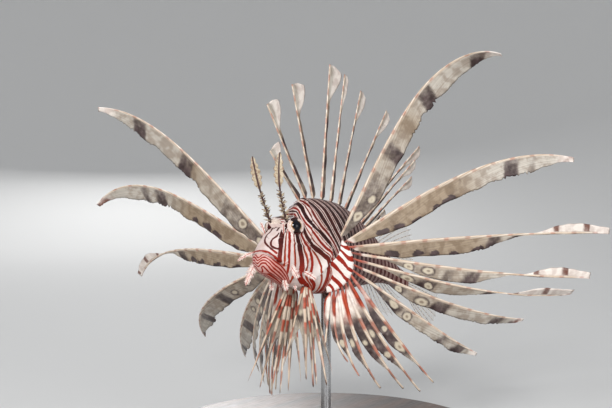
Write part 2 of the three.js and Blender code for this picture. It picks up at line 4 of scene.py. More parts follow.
import bmesh
import bpy
import numpy as np
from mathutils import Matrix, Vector


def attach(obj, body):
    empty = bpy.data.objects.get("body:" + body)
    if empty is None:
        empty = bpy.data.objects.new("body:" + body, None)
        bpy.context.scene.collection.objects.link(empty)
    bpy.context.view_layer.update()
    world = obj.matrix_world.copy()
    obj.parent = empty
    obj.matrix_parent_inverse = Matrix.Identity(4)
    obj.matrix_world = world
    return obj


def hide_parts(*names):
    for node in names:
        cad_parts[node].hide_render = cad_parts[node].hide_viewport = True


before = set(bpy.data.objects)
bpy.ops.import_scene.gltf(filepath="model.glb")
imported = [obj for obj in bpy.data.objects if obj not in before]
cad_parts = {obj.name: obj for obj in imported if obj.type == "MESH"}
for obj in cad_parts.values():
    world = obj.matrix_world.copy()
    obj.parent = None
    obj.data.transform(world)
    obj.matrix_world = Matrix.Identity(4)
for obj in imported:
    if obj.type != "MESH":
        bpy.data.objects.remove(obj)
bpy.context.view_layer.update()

# Red lionfish, still and life-size, held on a display stand.
# The fish's own axes: s runs back from the snout, w to its left and h up, in millimetres.
# It hangs nose-up and a little banked over the middle of the plinth.
MM = 0.001
PIVOT_S = 52
PIVOT_HEIGHT = 100
PITCH = math.radians(8.5)
BANK = math.radians(3.3)
LEVEL_UP = np.array([0, math.sin(PITCH), math.cos(PITCH)])
FORWARD = np.array([0, -math.cos(PITCH), math.sin(PITCH)])
TO_LEFT = np.array([math.cos(BANK), 0, 0]) + LEVEL_UP * math.sin(BANK)
TO_UP = LEVEL_UP * math.cos(BANK) - np.array([math.sin(BANK), 0, 0])
LEFT, RIGHT = 1, -1


def in_model(points):
    """Points on the fish's own axes, in the model's frame and in metres."""
    flat = np.asarray(points, float).reshape(-1, 3)
    placed = (
        np.array([0, 0, PIVOT_HEIGHT])
        + np.outer(PIVOT_S - flat[:, 0], FORWARD)
        + np.outer(flat[:, 1], TO_LEFT)
        + np.outer(flat[:, 2], TO_UP)
    )
    return placed * MM


# Camera: the photograph looks 40 degrees to the left of the fish's nose, almost level.
# The lens gives the photograph's own perspective from half a metre away.
VIEW_AZIMUTH = math.radians(40)
VIEW_ELEVATION = math.radians(2)
VIEW_DISTANCE = 500
AIM_RIGHT = -10
AIM_UP = 25.3
LENS = 58.82
SENSOR_WIDTH = 36
toward_camera = Vector((
    math.sin(VIEW_AZIMUTH) * math.cos(VIEW_ELEVATION),
    -math.cos(VIEW_AZIMUTH) * math.cos(VIEW_ELEVATION),
    math.sin(VIEW_ELEVATION),
))
view_right = Vector((math.cos(VIEW_AZIMUTH), math.sin(VIEW_AZIMUTH), 0))
view_up = toward_camera.cross(view_right)
target = Vector((0, 0, PIVOT_HEIGHT)) + AIM_RIGHT * view_right + AIM_UP * view_up
camera_data = bpy.data.cameras.new("photo_view")
camera_data.lens = LENS
camera_data.sensor_width = SENSOR_WIDTH
camera_data.clip_start = 0.01
camera = bpy.data.objects.new("photo_view", camera_data)
camera.location = (target + VIEW_DISTANCE * toward_camera) * MM
camera.rotation_mode = "QUATERNION"
camera.rotation_quaternion = toward_camera.to_track_quat("Z", "Y")
bpy.context.scene.collection.objects.link(camera)
bpy.context.scene.camera = camera


# Skin of the body and head: one closed hide from the lips to the tail fin's root.
# Its outlines are the back, the belly, the half width and the height of the widest line.
# A living fish's skin is drawn over bone on the head and over muscle and scales behind it.
def profile(stations):
    """A smooth curve through pairs of a place and its value."""
    x = np.array([station[0] for station in stations], float)
    y = np.array([station[1] for station in stations], float)
    before = np.maximum(np.arange(len(x)) - 1, 0)
    after = np.minimum(np.arange(len(x)) + 1, len(x) - 1)
    slope = (y[after] - y[before]) / (x[after] - x[before])

    def value(s):
        s = np.asarray(s, float)
        i = np.clip(np.searchsorted(x, s) - 1, 0, len(x) - 2)
        d = x[i + 1] - x[i]
        t = np.clip((s - x[i]) / d, 0, 1)
        u = 1 - t
        return (
            y[i] * u * u * (1 + 2 * t)
            + y[i + 1] * t * t * (3 - 2 * t)
            + d * t * u * (u * slope[i] - t * slope[i + 1])
        )

    return value


SNOUT_TIP = 1.5
STANDARD_LENGTH = 124
BACK_LINE = profile([
    (1.5, -7.4), (3, -3), (4.5, -0.8), (7, 3), (10, 6.6), (13, 9.4), (17, 12.2), (20, 14.6),
    (24, 19), (30, 25), (37, 26.6), (46, 27.2), (60, 26.2), (72, 22.8), (85, 18.2),
    (100, 11.8), (112, 7), (124, 5.6),
])
BELLY_LINE = profile([
    (1.5, -8), (3, -10.4), (5, -12.2), (8, -13.6), (13, -15.2), (20, -16.8), (30, -18.4),
    (42, -20), (55, -18.8), (70, -15.6), (85, -11.2), (100, -7), (112, -5.4), (124, -5.6),
])
HALF_WIDTH = profile([
    (1.5, 1), (3, 4.2), (4.5, 5.7), (7, 7.1), (10, 8.1), (13, 8.9), (17, 9.8), (24, 11.3),
    (32, 12.5), (43, 13), (52, 12.7), (62, 11.4), (72, 9.7), (85, 7.3), (100, 4.8),
    (112, 3.3), (124, 2.5),
])
WIDEST = profile([
    (1.5, -7.7), (4, -6.6), (9, -5), (16, -3), (26, -2), (36, -1.5), (46, 0), (60, 1),
    (80, 0.6), (124, 0),
])
BACK_FULLNESS = profile([
    (1.5, 2), (6, 2.5), (16, 2.4), (24, 1.9), (46, 1.8), (80, 1.8), (124, 2),
])
BELLY_FULLNESS = 2.1
DROOP = 9
DROOP_FROM = 55
DROOP_OVER = 65


def sag(s):
    """The tail's slow droop below the fish's own axis."""
    return -DROOP * (np.maximum(0, s - DROOP_FROM) / DROOP_OVER) ** 2


def power(value, fullness):
    """A sine or cosine for an outline that is an ellipse at fullness 2 and boxier above it."""
    return np.sign(value) * np.abs(value) ** (2 / fullness)


def skin_point(s, turn):
    """A point of the plain body, a turn round from the ridge of the back."""
    c = np.cos(turn)
    middle = WIDEST(s)
    full = np.where(c > 0, BACK_FULLNESS(s), BELLY_FULLNESS)
    reach = np.where(c > 0, BACK_LINE(s) - middle, middle - BELLY_LINE(s))
    w = HALF_WIDTH(s) * power(np.sin(turn), full)
    return np.stack([s + 0 * turn, w, middle + reach * power(c, full)], -1)


# Head relief: lips, jaw plate, cheek ridge, gill edges, nostrils and spines of the real skull.
# Lines are drawn in the side view. Heights, places and spreads are in millimetres.
def smooth(low, high, x):
    """A soft step from 0 at low to 1 at high."""
    t = np.clip((np.asarray(x, float) - low) / (high - low), 0, 1)
    return t * t * (3 - 2 * t)


def bump_at(distance, spread):
    """A soft hump of height 1 where the distance is 0."""
    return np.exp(-((distance / spread) ** 2))


def to_line(x, y, line):
    """Signed distance to a polyline that is drawn on, past both ends, and the share along it."""
    points = np.array(line, float)
    best = np.full(np.shape(x), 1e9)
    side = np.zeros(np.shape(x))
    share = np.zeros(np.shape(x))
    count = len(points) - 1
    for k in range(count):
        a, b = points[k], points[k + 1]
        d = b - a
        t = ((x - a[0]) * d[0] + (y - a[1]) * d[1]) / (d @ d)
        t = np.clip(t, -99 if k == 0 else 0, 99 if k == count - 1 else 1)
        dx, dy = x - a[0] - t * d[0], y - a[1] - t * d[1]
        gap = np.hypot(dx, dy)
        nearer = gap < best
        best = np.where(nearer, gap, best)
        side = np.where(nearer, np.sign(d[0] * dy - d[1] * dx), side)
        share = np.where(nearer, (k + t) / count, share)
    return best * side, share


def curved(line, steps=6):
    """A smooth line through a few guide points."""
    points = np.array(line, float)
    x = np.arange(len(points))
    fine = np.linspace(0, len(points) - 1, (len(points) - 1) * steps + 1)
    return np.stack([profile(list(zip(x, column)))(fine) for column in points.T], -1)


MOUTH = curved([(0.4, -3.2), (2.6, -3.2), (3.7, -4.2), (6.2, -6.1), (8.3, -7.1), (10.6, -8.4)])
MAXILLA_END = [(11.6, -2.5), (12.9, -5.5), (12.4, -9.3)]
CHEEK_RIDGE = curved([(13.4, 3.6), (17, 2.2), (21, 1.4), (25.5, 0.4)])
PREOPERCLE = curved([(26.5, 6), (25, 0), (25, -6), (22.8, -11), (18.5, -14.8)])
GILL_EDGE = curved([
    (29, 11.5), (34.5, 9), (38.8, 4.8), (40.6, 0.8), (39, -5), (34.5, -11), (28.5, -15.4),
    (21, -18),
])
NAPE_RIDGE = curved([(22.5, 16.2), (25, 18.6), (28.5, 21.6)])
LIPS = [(0.5, 0.95, 0.55), (0.34, -0.85, 0.5), (-1.5, 0, 0.26)]
NOSTRILS = [(10.6, 5.2, 0.34), (13.2, 7.4, 0.42)]
CHEEK_SPINES = [(24.8, -3.6), (24.6, -7.4), (22.4, -11.2), (25.6, 0.6), (19.2, 1.9)]


def stretch(share, start, end):
    """1 along a line and 0 past both ends, with soft steps between each pair of shares."""
    return smooth(*start, share) * (1 - smooth(*end, share))


def relief(s, w, h):
    """How far the skin stands out from the plain body."""
    mouth, _ = to_line(s, h, MOUTH)
    out = sum(height * bump_at(mouth - away, spread) for height, away, spread in LIPS)
    out *= 1 - smooth(10.4, 12.4, s)

    end, _ = to_line(s, h, MAXILLA_END)
    plate = smooth(0.2, 1.2, mouth) * (1 - smooth(3.4, 5.6, mouth)) * smooth(5, 9, s)
    out += 0.5 * smooth(-0.16, 0.16, -end) * (1 - smooth(0, 6, -end)) * plate

    ridge, share = to_line(s, h, CHEEK_RIDGE)
    out += 0.6 * bump_at(ridge, 0.6) * stretch(share, (-0.1, 0.1), (0.95, 1.1))
    edge, share = to_line(s, h, PREOPERCLE)
    cheek = smooth(-0.2, 0.2, -edge) * (1 - smooth(0.2, 3.2, -edge))
    out += 0.5 * cheek * (1 - smooth(0.9, 1.1, share))
    gill, share = to_line(s, h, GILL_EDGE)
    flap = smooth(-0.2, 0.2, -gill) * (1 - smooth(0.3, 6, -gill))
    slit = bump_at(gill - 0.55, 0.5)
    out += (0.75 * flap - 0.45 * slit) * smooth(-0.05, 0.1, share)
    nape, share = to_line(s, h, NAPE_RIDGE)
    beside = smooth(1.5, 2.5, np.abs(w))
    out += 0.5 * bump_at(nape, 0.5) * stretch(share, (-0.15, 0.1), (0.9, 1.15)) * beside

    for at_s, at_h, size in NOSTRILS:
        gap = np.hypot(s - at_s, h - at_h)
        rim, hole = bump_at(gap - size * 1.7, size * 0.8), bump_at(gap, size * 0.8)
        out += (0.42 * rim - 0.7 * hole) * (h > 0)
    for at_s, at_h in CHEEK_SPINES:
        out += 0.85 * bump_at(np.hypot(s - at_s, (h - at_h) * 1.3), 0.42)

    between_eyes = smooth(12.5, 16, s) * (1 - smooth(22, 26, s)) * (h > 4)
    hollow, ridges = bump_at(w, 2.4), bump_at(np.abs(w) - 2.9, 0.6)
    out += (0.35 * ridges - 1.25 * hollow) * between_eyes
    throat = (h < -8) * smooth(5, 8, s) * (1 - smooth(19, 23, s))
    return out - 0.6 * bump_at(np.abs(w) - 2.7, 0.5) * throat


# Markings: pigment in the skin. Each dark line is a guide curve in the side view, from the
# snout back, with its half width at the top and the bottom and how red it is. Between two
# lines the pattern's phase runs evenly, which places a thin line halfway between them.
HEAD_LINES = [
    ([(19, 15), (18, 12.9), (12.1, 7.1), (9.7, 2.5), (8.5, -2.9), (8.3, -6.3), (9, -11)],
     0.7, 0.7, 0.1),
    ([(20.4, 16), (17.8, 12), (15.2, 7.8), (13.7, 2.8), (13.4, -1.6), (13.5, -5.9), (14.6, -11)],
     0.4, 0.5, 0.85),
    ([(21.8, 17.2), (20, 12.5), (18.8, 7.7), (19.2, 0.7), (20.7, -4.4), (21.8, -8.7),
      (22.1, -11.8), (24.8, -14.3), (29.5, -15.9), (33.1, -17.7)], 0.85, 0.95, 0.02),
    ([(23, 18.2), (21.8, 13), (20.9, 8), (22.1, 4.3), (23.9, 1.1), (26.3, -2.7), (27.7, -7),
      (28.8, -12.6), (34, -15.7), (36.6, -18.4)], 0.4, 0.6, 0.6),
    ([(24.1, 19.2), (23.4, 15), (22.9, 11.3), (23, 8.1), (24, 5.1), (27, 1.8), (31.3, 0),
      (35.3, -2), (37.8, -3.7), (40, -9), (41.5, -15), (43, -20)], 0.8, 1, 0.05),
    ([(25.3, 20.3), (24.5, 17), (24.7, 13.7), (26.3, 11.1), (28.8, 7.8), (32, 4.5), (35.8, 1.8),
      (39.5, -0.3), (42, -5), (44, -12), (46, -19)], 0.35, 0.5, 0.7),
    ([(27, 22), (26.2, 19.8), (25.9, 16.5), (26.9, 13.4), (29.4, 11), (33.2, 8.3), (37.4, 4.9),
      (40.5, 2.1), (43.5, -2), (46, -9), (48.5, -19)], 0.9, 0.9, 0.0),
    ([(29, 24), (29.6, 21.9), (30.5, 20.2), (31.1, 17.9), (32.1, 15.3), (34.5, 12), (38.2, 9),
      (42, 5), (45.5, 0), (48.5, -8), (51, -19)], 0.5, 0.5, 0.4),
    ([(30.6, 25.2), (33.2, 21.8), (35.2, 18.9), (37, 15.3), (39.3, 12), (41.2, 8.5),
      (43.8, 5.1), (47.5, 0), (50.5, -8), (53, -19)], 1.1, 1.4, 0.0),
    ([(35, 26.4), (36.7, 25.1), (39.2, 22.6), (40.9, 19.5), (42.1, 16), (43.7, 12.4),
      (45.7, 9.5), (47.8, 6.3), (51, 0), (54, -8), (56, -19)], 0.9, 1, 0.05),
    ([(39.5, 26.8), (41.4, 25.2), (44.2, 22.4), (46, 18.7), (47.9, 14.7), (49.4, 10.8),
      (51, 7), (54, 0), (57, -8), (59, -19)], 1.1, 1.1, 0.0),
    ([(44.5, 27), (46.8, 24.9), (49.6, 21.9), (52.2, 18.5), (54.4, 14.1), (56, 9), (58.5, 0),
      (60.5, -8), (62, -18)], 1.2, 1.1, 0.0),
]
FLANK_PITCH = 5.2
FLANK_START = 50.5
FLANK_LEAN = 8.5
FLANK_DEPTHS = (0, 3, 7, 12, 20, 30, 45)
FLANK_LINES = 15


def flank_line(k):
    """The next line of the flank, which leans back from the ridge and hangs straight below."""
    top = FLANK_START + FLANK_PITCH * k
    lean = FLANK_LEAN * (1 - k / 18)
    points = [(top + lean * (1 - math.exp(-depth / 8)), float(BACK_LINE(top)) - depth)
              for depth in FLANK_DEPTHS]
    return points, 1.25 - 0.03 * k, 1.1 - 0.02 * k, 0.05 + 0.17 * min(1, k / 6)


LINES = HEAD_LINES + [flank_line(k) for k in range(FLANK_LINES)]
SNOUT_LINES = [
    ([(13.6, -2.4, 9.6), (11.1, -1.1, 7.7), (9, -1.9, 5.4), (7.1, -1.1, 3.1), (5.8, 1, 1.1),
      (5.4, 5.2, -1.5), (6.8, 6.9, -3)], 0.4),
    ([(11, 4.4, 6.7), (9.5, 4.2, 5.2), (7.4, 3.1, 3.1), (6, 3.9, 0.6), (6.3, 5.7, -0.6),
      (7.6, 7, -1)], 0.42),
    ([(10.2, -5.2, 5.6), (8.6, -5.6, 3), (6.6, -5.4, 0), (6.4, -6.2, -2.4)], 0.36),
    ([(9.4, -7.6, -6.6), (6.4, -6.7, -5), (4.2, -4.4, -3.2), (3.2, 0, -2.2), (4, 4.1, -3),
      (6.6, 6.9, -5.3), (8.6, 7.5, -6.6)], 0.42),
    ([(17, 1.1, 12.2), (14, 1.7, 10), (11.5, 2.3, 8)], 0.42),
    ([(17, -3.4, 11.8), (14.7, -3.2, 10), (12.7, -3.6, 8.6)], 0.4),
    ([(15.4, -0.9, 11.4), (13.6, -0.6, 9.7), (12.6, -0.5, 9)], 0.34),
    ([(13.4, 3.5, 9.2), (11.6, 4.1, 7.6), (9.4, 5.6, 4.4), (8.7, 6.4, 1.6)], 0.24),
    ([(8.6, -1, 4.6), (7.6, 1.2, 3.4), (7.4, 1.6, 3)], 0.2),
    ([(3.4, -1.8, -3.6), (2.2, -1.2, -5.4), (1.9, -0.9, -6.4)], 0.3),
]
JAW_TOP = curved([
    (0.4, -3.2), (2.6, -3.2), (3.7, -4.2), (6.2, -6.1), (8.3, -7.1), (10.6, -8.4), (14.5, -11.2),
    (19, -14.8), (23, -17.6),
])
JAW_LINES = 7
CHIN_PITCH = 1.35


def nearest_on(points, line):
    """Distance from each point to a smooth line in space."""
    best = np.full(points.shape[:-1], 1e9)
    route = curved(line, 4)
    for a, b in zip(route, route[1:]):
        d = b - a
        t = np.clip(((points - a) @ d) / (d @ d), 0, 1)
        best = np.minimum(best, np.linalg.norm(points - a - t[..., None] * d, axis=-1))
    return best


def spread_on(points, phase):
    """How fast a phase runs over the surface, per millimetre."""
    du, dv = np.gradient(points, axis=0), np.gradient(points, axis=1)
    pu, pv = np.gradient(phase)
    e, f, g = (du * du).sum(-1), (du * dv).sum(-1), (dv * dv).sum(-1)
    area = np.maximum(e * g - f * f, 1e-9)
    return np.sqrt(np.maximum((g * pu * pu - 2 * f * pu * pv + e * pv * pv) / area, 1e-6))


THIN_LINE = 0.42
THIN_NEEDS = 2.1


def jaw_lines(points, turn):
    """Ink of the lower jaw: lines that follow its edge behind and wrap the chin in front."""
    s, w, h = points[..., 0], points[..., 1], points[..., 2]
    jaw, _ = to_line(s, h, JAW_TOP)
    half_way = np.arange(turn.shape[1] // 2 + 1)
    edge = np.interp(s[:, 0], JAW_TOP[:, 0], JAW_TOP[:, 1])
    lip = np.array([np.interp(-e, -row[half_way], turn[0][half_way]) for e, row in zip(edge, h)])
    under = (math.pi - np.abs(turn - math.pi) - lip[:, None]) / (math.pi - lip[:, None])
    behind = JAW_LINES * under
    at_chin = (edge[:, None] - h) / CHIN_PITCH - 1.3 * bump_at(w, 1.7)
    phase = behind + (at_chin - behind) * smooth(8, 3.4, s) + 0.5
    gap = 1 / spread_on(points, phase)
    ink = np.minimum(0.42, 0.27 * gap) - np.abs(phase - np.rint(phase)) * gap
    return np.where(phase < 0.5, -1, ink), (jaw < -0.1) & (s < 23.5)


def markings(points, turn):
    """Ink, thin lines, redness, ground tones and painted shade of the skin; ink is in millimetres
    inside.
    """
    s, w, h = points[..., 0], points[..., 1], points[..., 2]
    offsets, shares = zip(*[to_line(s, h, curved(line[0], 4)) for line in LINES])
    offsets, shares = np.array(offsets), np.array(shares)
    behind = np.maximum.accumulate((offsets > 0)[::-1], axis=0)[::-1].sum(0)
    phase = np.where(behind == 0, -np.abs(offsets[0]) / 4, behind - 1.0)
    for j in range(len(LINES) - 1):
        a, b = np.abs(offsets[j]), np.abs(offsets[j + 1])
        phase = np.where(behind == j + 1, j + a / np.maximum(a + b, 1e-6), phase)
    beyond = len(LINES) - 1 + np.abs(offsets[-1]) / FLANK_PITCH
    phase = np.where(behind == len(LINES), beyond, phase)
    gap = 1 / spread_on(points, phase)

    near = np.clip(np.rint(phase), 0, len(LINES) - 1).astype(int)
    top, bottom, redness = np.array([line[1:] for line in LINES])[near].transpose(2, 0, 1)
    share = np.clip(np.take_along_axis(shares, near[None], 0)[0], 0, 1)
    half = top + (bottom - top) * share
    ink = np.minimum(1.6 * half, 0.3 * gap) - np.abs(phase - near) * gap
    ink = np.where(phase < -0.45, -1, ink)
    cheek = smooth(6, -6, h) * smooth(60, 50, s)
    thin = np.minimum(THIN_LINE + 0.2 * cheek, (0.075 + 0.045 * cheek) * gap)
    thin = thin - np.abs(phase - np.floor(phase) - 0.5) * gap
    thin = np.where((gap > THIN_NEEDS) & (phase > 0), thin, -1)
    red = redness + 0.85 * smooth(3, -14, h) * (1 - smooth(38, 60, s))

    snout = 1 - smooth(-0.4, -0.15, phase)
    for line, width in SNOUT_LINES:
        drawn = 1.25 * width - nearest_on(points, line)
        ink = np.maximum(ink, np.where(snout > 0.02, drawn, -1))
    jaw_ink, in_jaw = jaw_lines(points, turn)
    ink = np.where(in_jaw, jaw_ink, ink)
    thin = np.where(in_jaw, -1, thin)
    red = np.where(in_jaw, 0.85, red)
    red = np.where(snout > 0.5, 0.2 + 0.7 * smooth(-1.2, -2.2, h), red)

    pale = bump_at(np.hypot(s - 36, h + 9), 7)
    pale += 0.9 * bump_at(np.hypot(s - 15.6, (h - 9) / 2), 2) * smooth(3.5, 5, np.abs(w))
    # The ground is a little darker over the back, and darker and redder on the lower flank behind
    # the pectoral fins: partly the flank's own colour and partly painted shade of the fins.
    dark_ground_and_shade = 0.15 * smooth(8, 20, h) * smooth(26, 44, s) + 0.6 * smooth(50, 64, s) * smooth(20, 8, h)
    return {"ink": ink, "thin": thin, "red": np.clip(red, 0, 1), "pale": pale, "dark_ground_and_shade": dark_ground_and_shade,
            "jaw": np.where(in_jaw, 0.55 + 0.45 * smooth(2.4, 6.5, s), 0.0)}


# Orbits: each eye stands in a round brow, with a low ring of skin where it meets the eyeball.
# They belong to the hide, which lies over the skull's own sockets.
EYE_S = 19
EYE_H = 10.2
EYE_W = 5.8
EYE_RADIUS = 4.7
BROW_RADIUS = 5.4
BROW_SET_IN = 0.9
BROW_FALL = 2.4
EYE_OPENING = 3.75
EYE_REACH = 9.5
SOCKET_DEPTH = 1.1
RING_RADIUS = (0.36, 0.3)
EYE_LOOK = np.array([-0.475, 0.868, 0.145])
EYE_BAR_TURN = 0.25


def eye_frame(side):
    """The eye's centre, and where it looks, what is ahead of it and what is above it."""
    centre = np.array([EYE_S, side * EYE_W, EYE_H])
    look = EYE_LOOK * np.array([1, side, 1])
    look = look / np.linalg.norm(look)
    ahead = np.cross([0, 0, 1], look)
    ahead = ahead / np.linalg.norm(ahead)
    return centre, look, ahead, np.cross(look, ahead)


def soft_greater(a, b, blend):
    """The greater of two heights, with the crease between them rounded."""
    h = np.clip(0.5 + 0.5 * (a - b) / blend, 0, 1)
    return b + (a - b) * h + blend * h * (1 - h)


def raise_brow(points, side):
    """The hide lifted over the eye, and sunk inside the opening that the eyeball fills."""
    centre, look, _, _ = eye_frame(side)
    away = points - centre
    out = away @ look
    r = np.linalg.norm(away - out[..., None] * look, axis=-1)
    inner = np.minimum(r, 5)
    dome = np.sqrt(BROW_RADIUS**2 - inner**2) - BROW_SET_IN - (r - inner) * BROW_FALL
    raised = soft_greater(out, dome, 0.7)
    ball = np.sqrt(np.maximum(EYE_RADIUS**2 - r**2, 0))
    opening = smooth(EYE_OPENING + 0.16, EYE_OPENING - 0.1, r)
    raised = raised * (1 - opening) + (ball - SOCKET_DEPTH) * opening
    mine = (side * points[..., 1] > -0.5) & (out > -4) & (r < EYE_REACH)
    return points + np.where(mine, raised - out, 0)[..., None] * look


def orbit_ring(side):
    """The low ring of skin round an eye, with dark bars that go on over the iris."""
    centre, look, ahead, above = eye_frame(side)
    around, across = np.meshgrid(
        np.linspace(0, 2 * math.pi, 97), np.linspace(0, 2 * math.pi, 13), indexing="ij")
    height = math.sqrt(EYE_RADIUS**2 - EYE_OPENING**2)
    radius = EYE_OPENING + 0.05 + RING_RADIUS[0] * np.cos(across)
    lift = height + 0.02 + RING_RADIUS[1] * np.sin(across)
    points = (
        centre
        + (radius * np.cos(around))[..., None] * ahead
        + (radius * np.sin(around))[..., None] * above
        + lift[..., None] * look
    )
    blank = np.zeros_like(around)
    bars = np.sin(around + EYE_BAR_TURN) ** 2 - 0.68
    marks = {"ink": bars, "thin": blank - 1, "red": blank + 0.05, "pale": blank + 0.2,
             "dark_ground_and_shade": blank + 0.2, "jaw": blank}
    return points, marks


# Hide: head, body and tail stem as one closed grid, from the lips to the tail fin's root.
# The relief raises it, the brows swell over the eyes, and its rear end closes to a round cap.
HEAD_ROWS = 262
BODY_ROWS = 108
AROUND = 228
HEAD_END = 62
CLOSING_FROM = 122.6


def unit_normals(points):
    """Outward directions of a closed body that is drawn as a grid."""
    du, dv = np.gradient(points, axis=0), np.gradient(points, axis=1)
    normal = np.cross(dv, du)
    normal /= np.maximum(np.linalg.norm(normal, axis=-1), 1e-9)[..., None]
    seam = (normal[:, 0] + normal[:, -1]) / 2
    normal[:, 0] = normal[:, -1] = seam / np.linalg.norm(seam, axis=-1)[:, None]
    return normal * np.sign((normal * (points - np.array([60, 0, 0]))).sum(-1).mean())


def hide_rows():
    """Where the hide's rows lie from the snout back, closest together at the lips."""
    head = SNOUT_TIP + (HEAD_END - SNOUT_TIP) * (np.arange(HEAD_ROWS) / HEAD_ROWS) ** 1.25
    return np.r_[head, np.linspace(HEAD_END, STANDARD_LENGTH, BODY_ROWS + 1)]


def body_hide():
    """The hide's points and its markings, raised, closed behind and drooped."""
    s, turn = np.meshgrid(hide_rows(), np.linspace(0, 2 * math.pi, AROUND + 1), indexing="ij")
    points = skin_point(s, turn)
    marks = markings(points, turn)
    raised = relief(s, points[..., 1], points[..., 2])
    points = points + unit_normals(points) * raised[..., None]
    points[:, -1] = points[:, 0]
    for side in (LEFT, RIGHT):
        points = raise_brow(points, side)
    points[0] = points[0].mean(0)
    middle = points.mean(1, keepdims=True)
    closing = np.clip((s[:, :1] - CLOSING_FROM) / (STANDARD_LENGTH - CLOSING_FROM), 0, 1)[..., None]
    points = middle + (points - middle) * np.sqrt(np.maximum(1 - closing**3, 0))
    points[..., 2] += sag(s)
    return points, marks


# Pectoral lobes: the fleshy root of each pectoral fin, thick at the gill opening and thin at
# the edge that the rays leave, whose roots show through it as low ridges. Its stripes run
# straight across near the body and then turn out, one to each second ray.
FINS = {
    "left": {
        "side": LEFT, "hinge": (43.5, 6, -5), "reach": 15, "root": 3, "depth": 0, "facing": 50,
        "bulge": 7, "angle": lambda k: 62 - 13.8 * k + 0.24 * k * k,
    },
    "right": {
        "side": RIGHT, "hinge": (40, 13.5, -7.5), "reach": 9, "root": 1, "depth": 6,
        "facing": 95, "bulge": 3, "angle": lambda k: 50 - 12.6 * k,
    },
}
FIN_RAYS = 14
LOBE_MARGIN = 7
STRIPE_RUN = -40
STRIPE_PITCH = 2.25
STRIPE_START = 8.9
LOBE_INNER = 2.4
RAY_RIDGE = 0.3


def heading(lift, sweep, side):
    """A direction, by its degrees above level and its degrees out from straight back."""
    up, out = np.radians(lift), np.radians(sweep)
    return np.stack(
        [np.cos(up) * np.cos(out), side * np.cos(up) * np.sin(out), np.sin(up) + 0 * out], -1)


def lobe_hide(fin):
    """One lobe as a closed grid, a fan about its pivot with a face on either side."""
    side, reach, depth, angle = fin["side"], fin["reach"], fin["depth"], fin["angle"]
    first, last = angle(0) + LOBE_MARGIN, angle(FIN_RAYS - 1) - LOBE_MARGIN
    centre = np.array(fin["hinge"]) * np.array([1, side, 1])
    pivot = centre - depth * heading((first + last) / 2, fin["facing"], side)
    normal = heading(0, fin["facing"] + 90, side)
    turn, around = np.meshgrid(np.linspace(0, 1, 113), np.linspace(0, 1, 49), indexing="ij")
    lift = first + (last - first) * turn
    edge = centre + reach * heading(lift, fin["facing"], side)
    far = np.linalg.norm(edge - pivot, axis=-1)
    out = (edge - pivot) / far[..., None]
    fat = 0.5 + 0.5 * np.sin(math.pi * turn)
    face = np.where(around < 0.5, 1, -1)
    along = 1 - np.abs(2 * around - 1)
    outer = np.where(face > 0, fin["bulge"], LOBE_INNER)
    thick = 1 + (outer - 1) * np.clip(1 - along, 0, 1) ** 1.4
    thick *= np.sqrt(np.clip(1 - smooth(0.86, 1, along) ** 2, 0, 1))
    rays = np.array([(angle(k) - first) / (last - first) for k in range(FIN_RAYS)])
    nearest = np.abs(turn[..., None] - rays).min(-1) * far * math.radians(abs(last - first))
    thick += RAY_RIDGE * bump_at(nearest, 0.55) * smooth(0.25, 0.7, along) * (along < 0.97)
    span = fin["root"] + (far - 0.5 - fin["root"]) * along
    points = pivot + span[..., None] * out + (face * thick * fat)[..., None] * normal
    points[..., 2] += sag(points[..., 0])
    points[0] = points[0].mean(0)
    points[-1] = points[-1].mean(0)
    index = np.interp(turn, rays, np.arange(FIN_RAYS))
    level = STRIPE_START - span * np.sin(np.radians(lift - STRIPE_RUN)) / STRIPE_PITCH
    index = index + (level - index) * smooth(1, 0.5, along)
    bold = 0.62 - np.abs(index - np.rint(index / 2) * 2) * 1.5 + 0.15 * np.sin(5 * along + index)
    blank = np.zeros_like(turn)
    marks = {"ink": bold, "thin": blank - 1, "red": blank + 0.9, "pale": blank + 0.75,
             "dark_ground_and_shade": blank, "jaw": blank}
    return points, marks


# Skin finish: living fish skin, smooth and slightly moist over small scales.
# A soft sheen lies over a fine scale relief, so the lines look grown in and not painted on.
# Dark maroon to orange-red lines lie on a pinkish-white ground, a little darker over the back, that
# turns darker and redder on the flank behind the pectoral fins: partly the flank's own colour and
# partly painted shade of the fins.
def paint(hex_value):
    """An sRGB hex colour, as the linear colour that a socket takes."""
    channels = [int(hex_value[k:k + 2], 16) / 255 for k in (1, 3, 5)]
    linear = [c / 12.92 if c <= 0.04045 else ((c + 0.055) / 1.055) ** 2.4 for c in channels]
    return (*linear, 1)


def add_node(tree, kind, sockets=None, out=0, **settings):
    """Adds a node, sets or links its sockets, and gives the output that carries on.

    A Mix of colours has its share in socket 0 and its colours in 6 and 7. A Map Range has its
    value in 0, the range that it comes from in 1 and 2, and the one it goes to in 3 and 4.
    """
    node = tree.nodes.new("ShaderNode" + kind)
    for key, value in settings.items():
        setattr(node, key, value)
    for key, value in (sockets or {}).items():
        if isinstance(value, bpy.types.NodeSocket):
            tree.links.new(value, node.inputs[key])
        else:
            node.inputs[key].default_value = value
    return node.outputs[out] if node.outputs else node


def new_finish(name, recipe, *colours):
    """A material whose recipe gives the sockets of its one shader."""
    finish = bpy.data.materials.new(name)
    finish.use_nodes = True
    tree = finish.node_tree
    tree.nodes.clear()
    place = add_node(tree, "TexCoord", out="Object")
    shader = add_node(tree, "BsdfPrincipled", recipe(tree, place, *colours))
    add_node(tree, "OutputMaterial", {"Surface": shader})
    return finish


SMOOTH = {"interpolation_type": "SMOOTHSTEP"}
COLOUR = {"data_type": "RGBA", "out": 2}
# Sizes of the skin's patterns, in millimetres. Real pores and scale edges are about a quarter
# as large, too fine for the render, so they are drawn this coarse.
PORES, WORN, LINE_EDGE, WET, TONE = 0.35, 0.9, 1.6, 2, 5
SCALE_GRAIN = 0.75


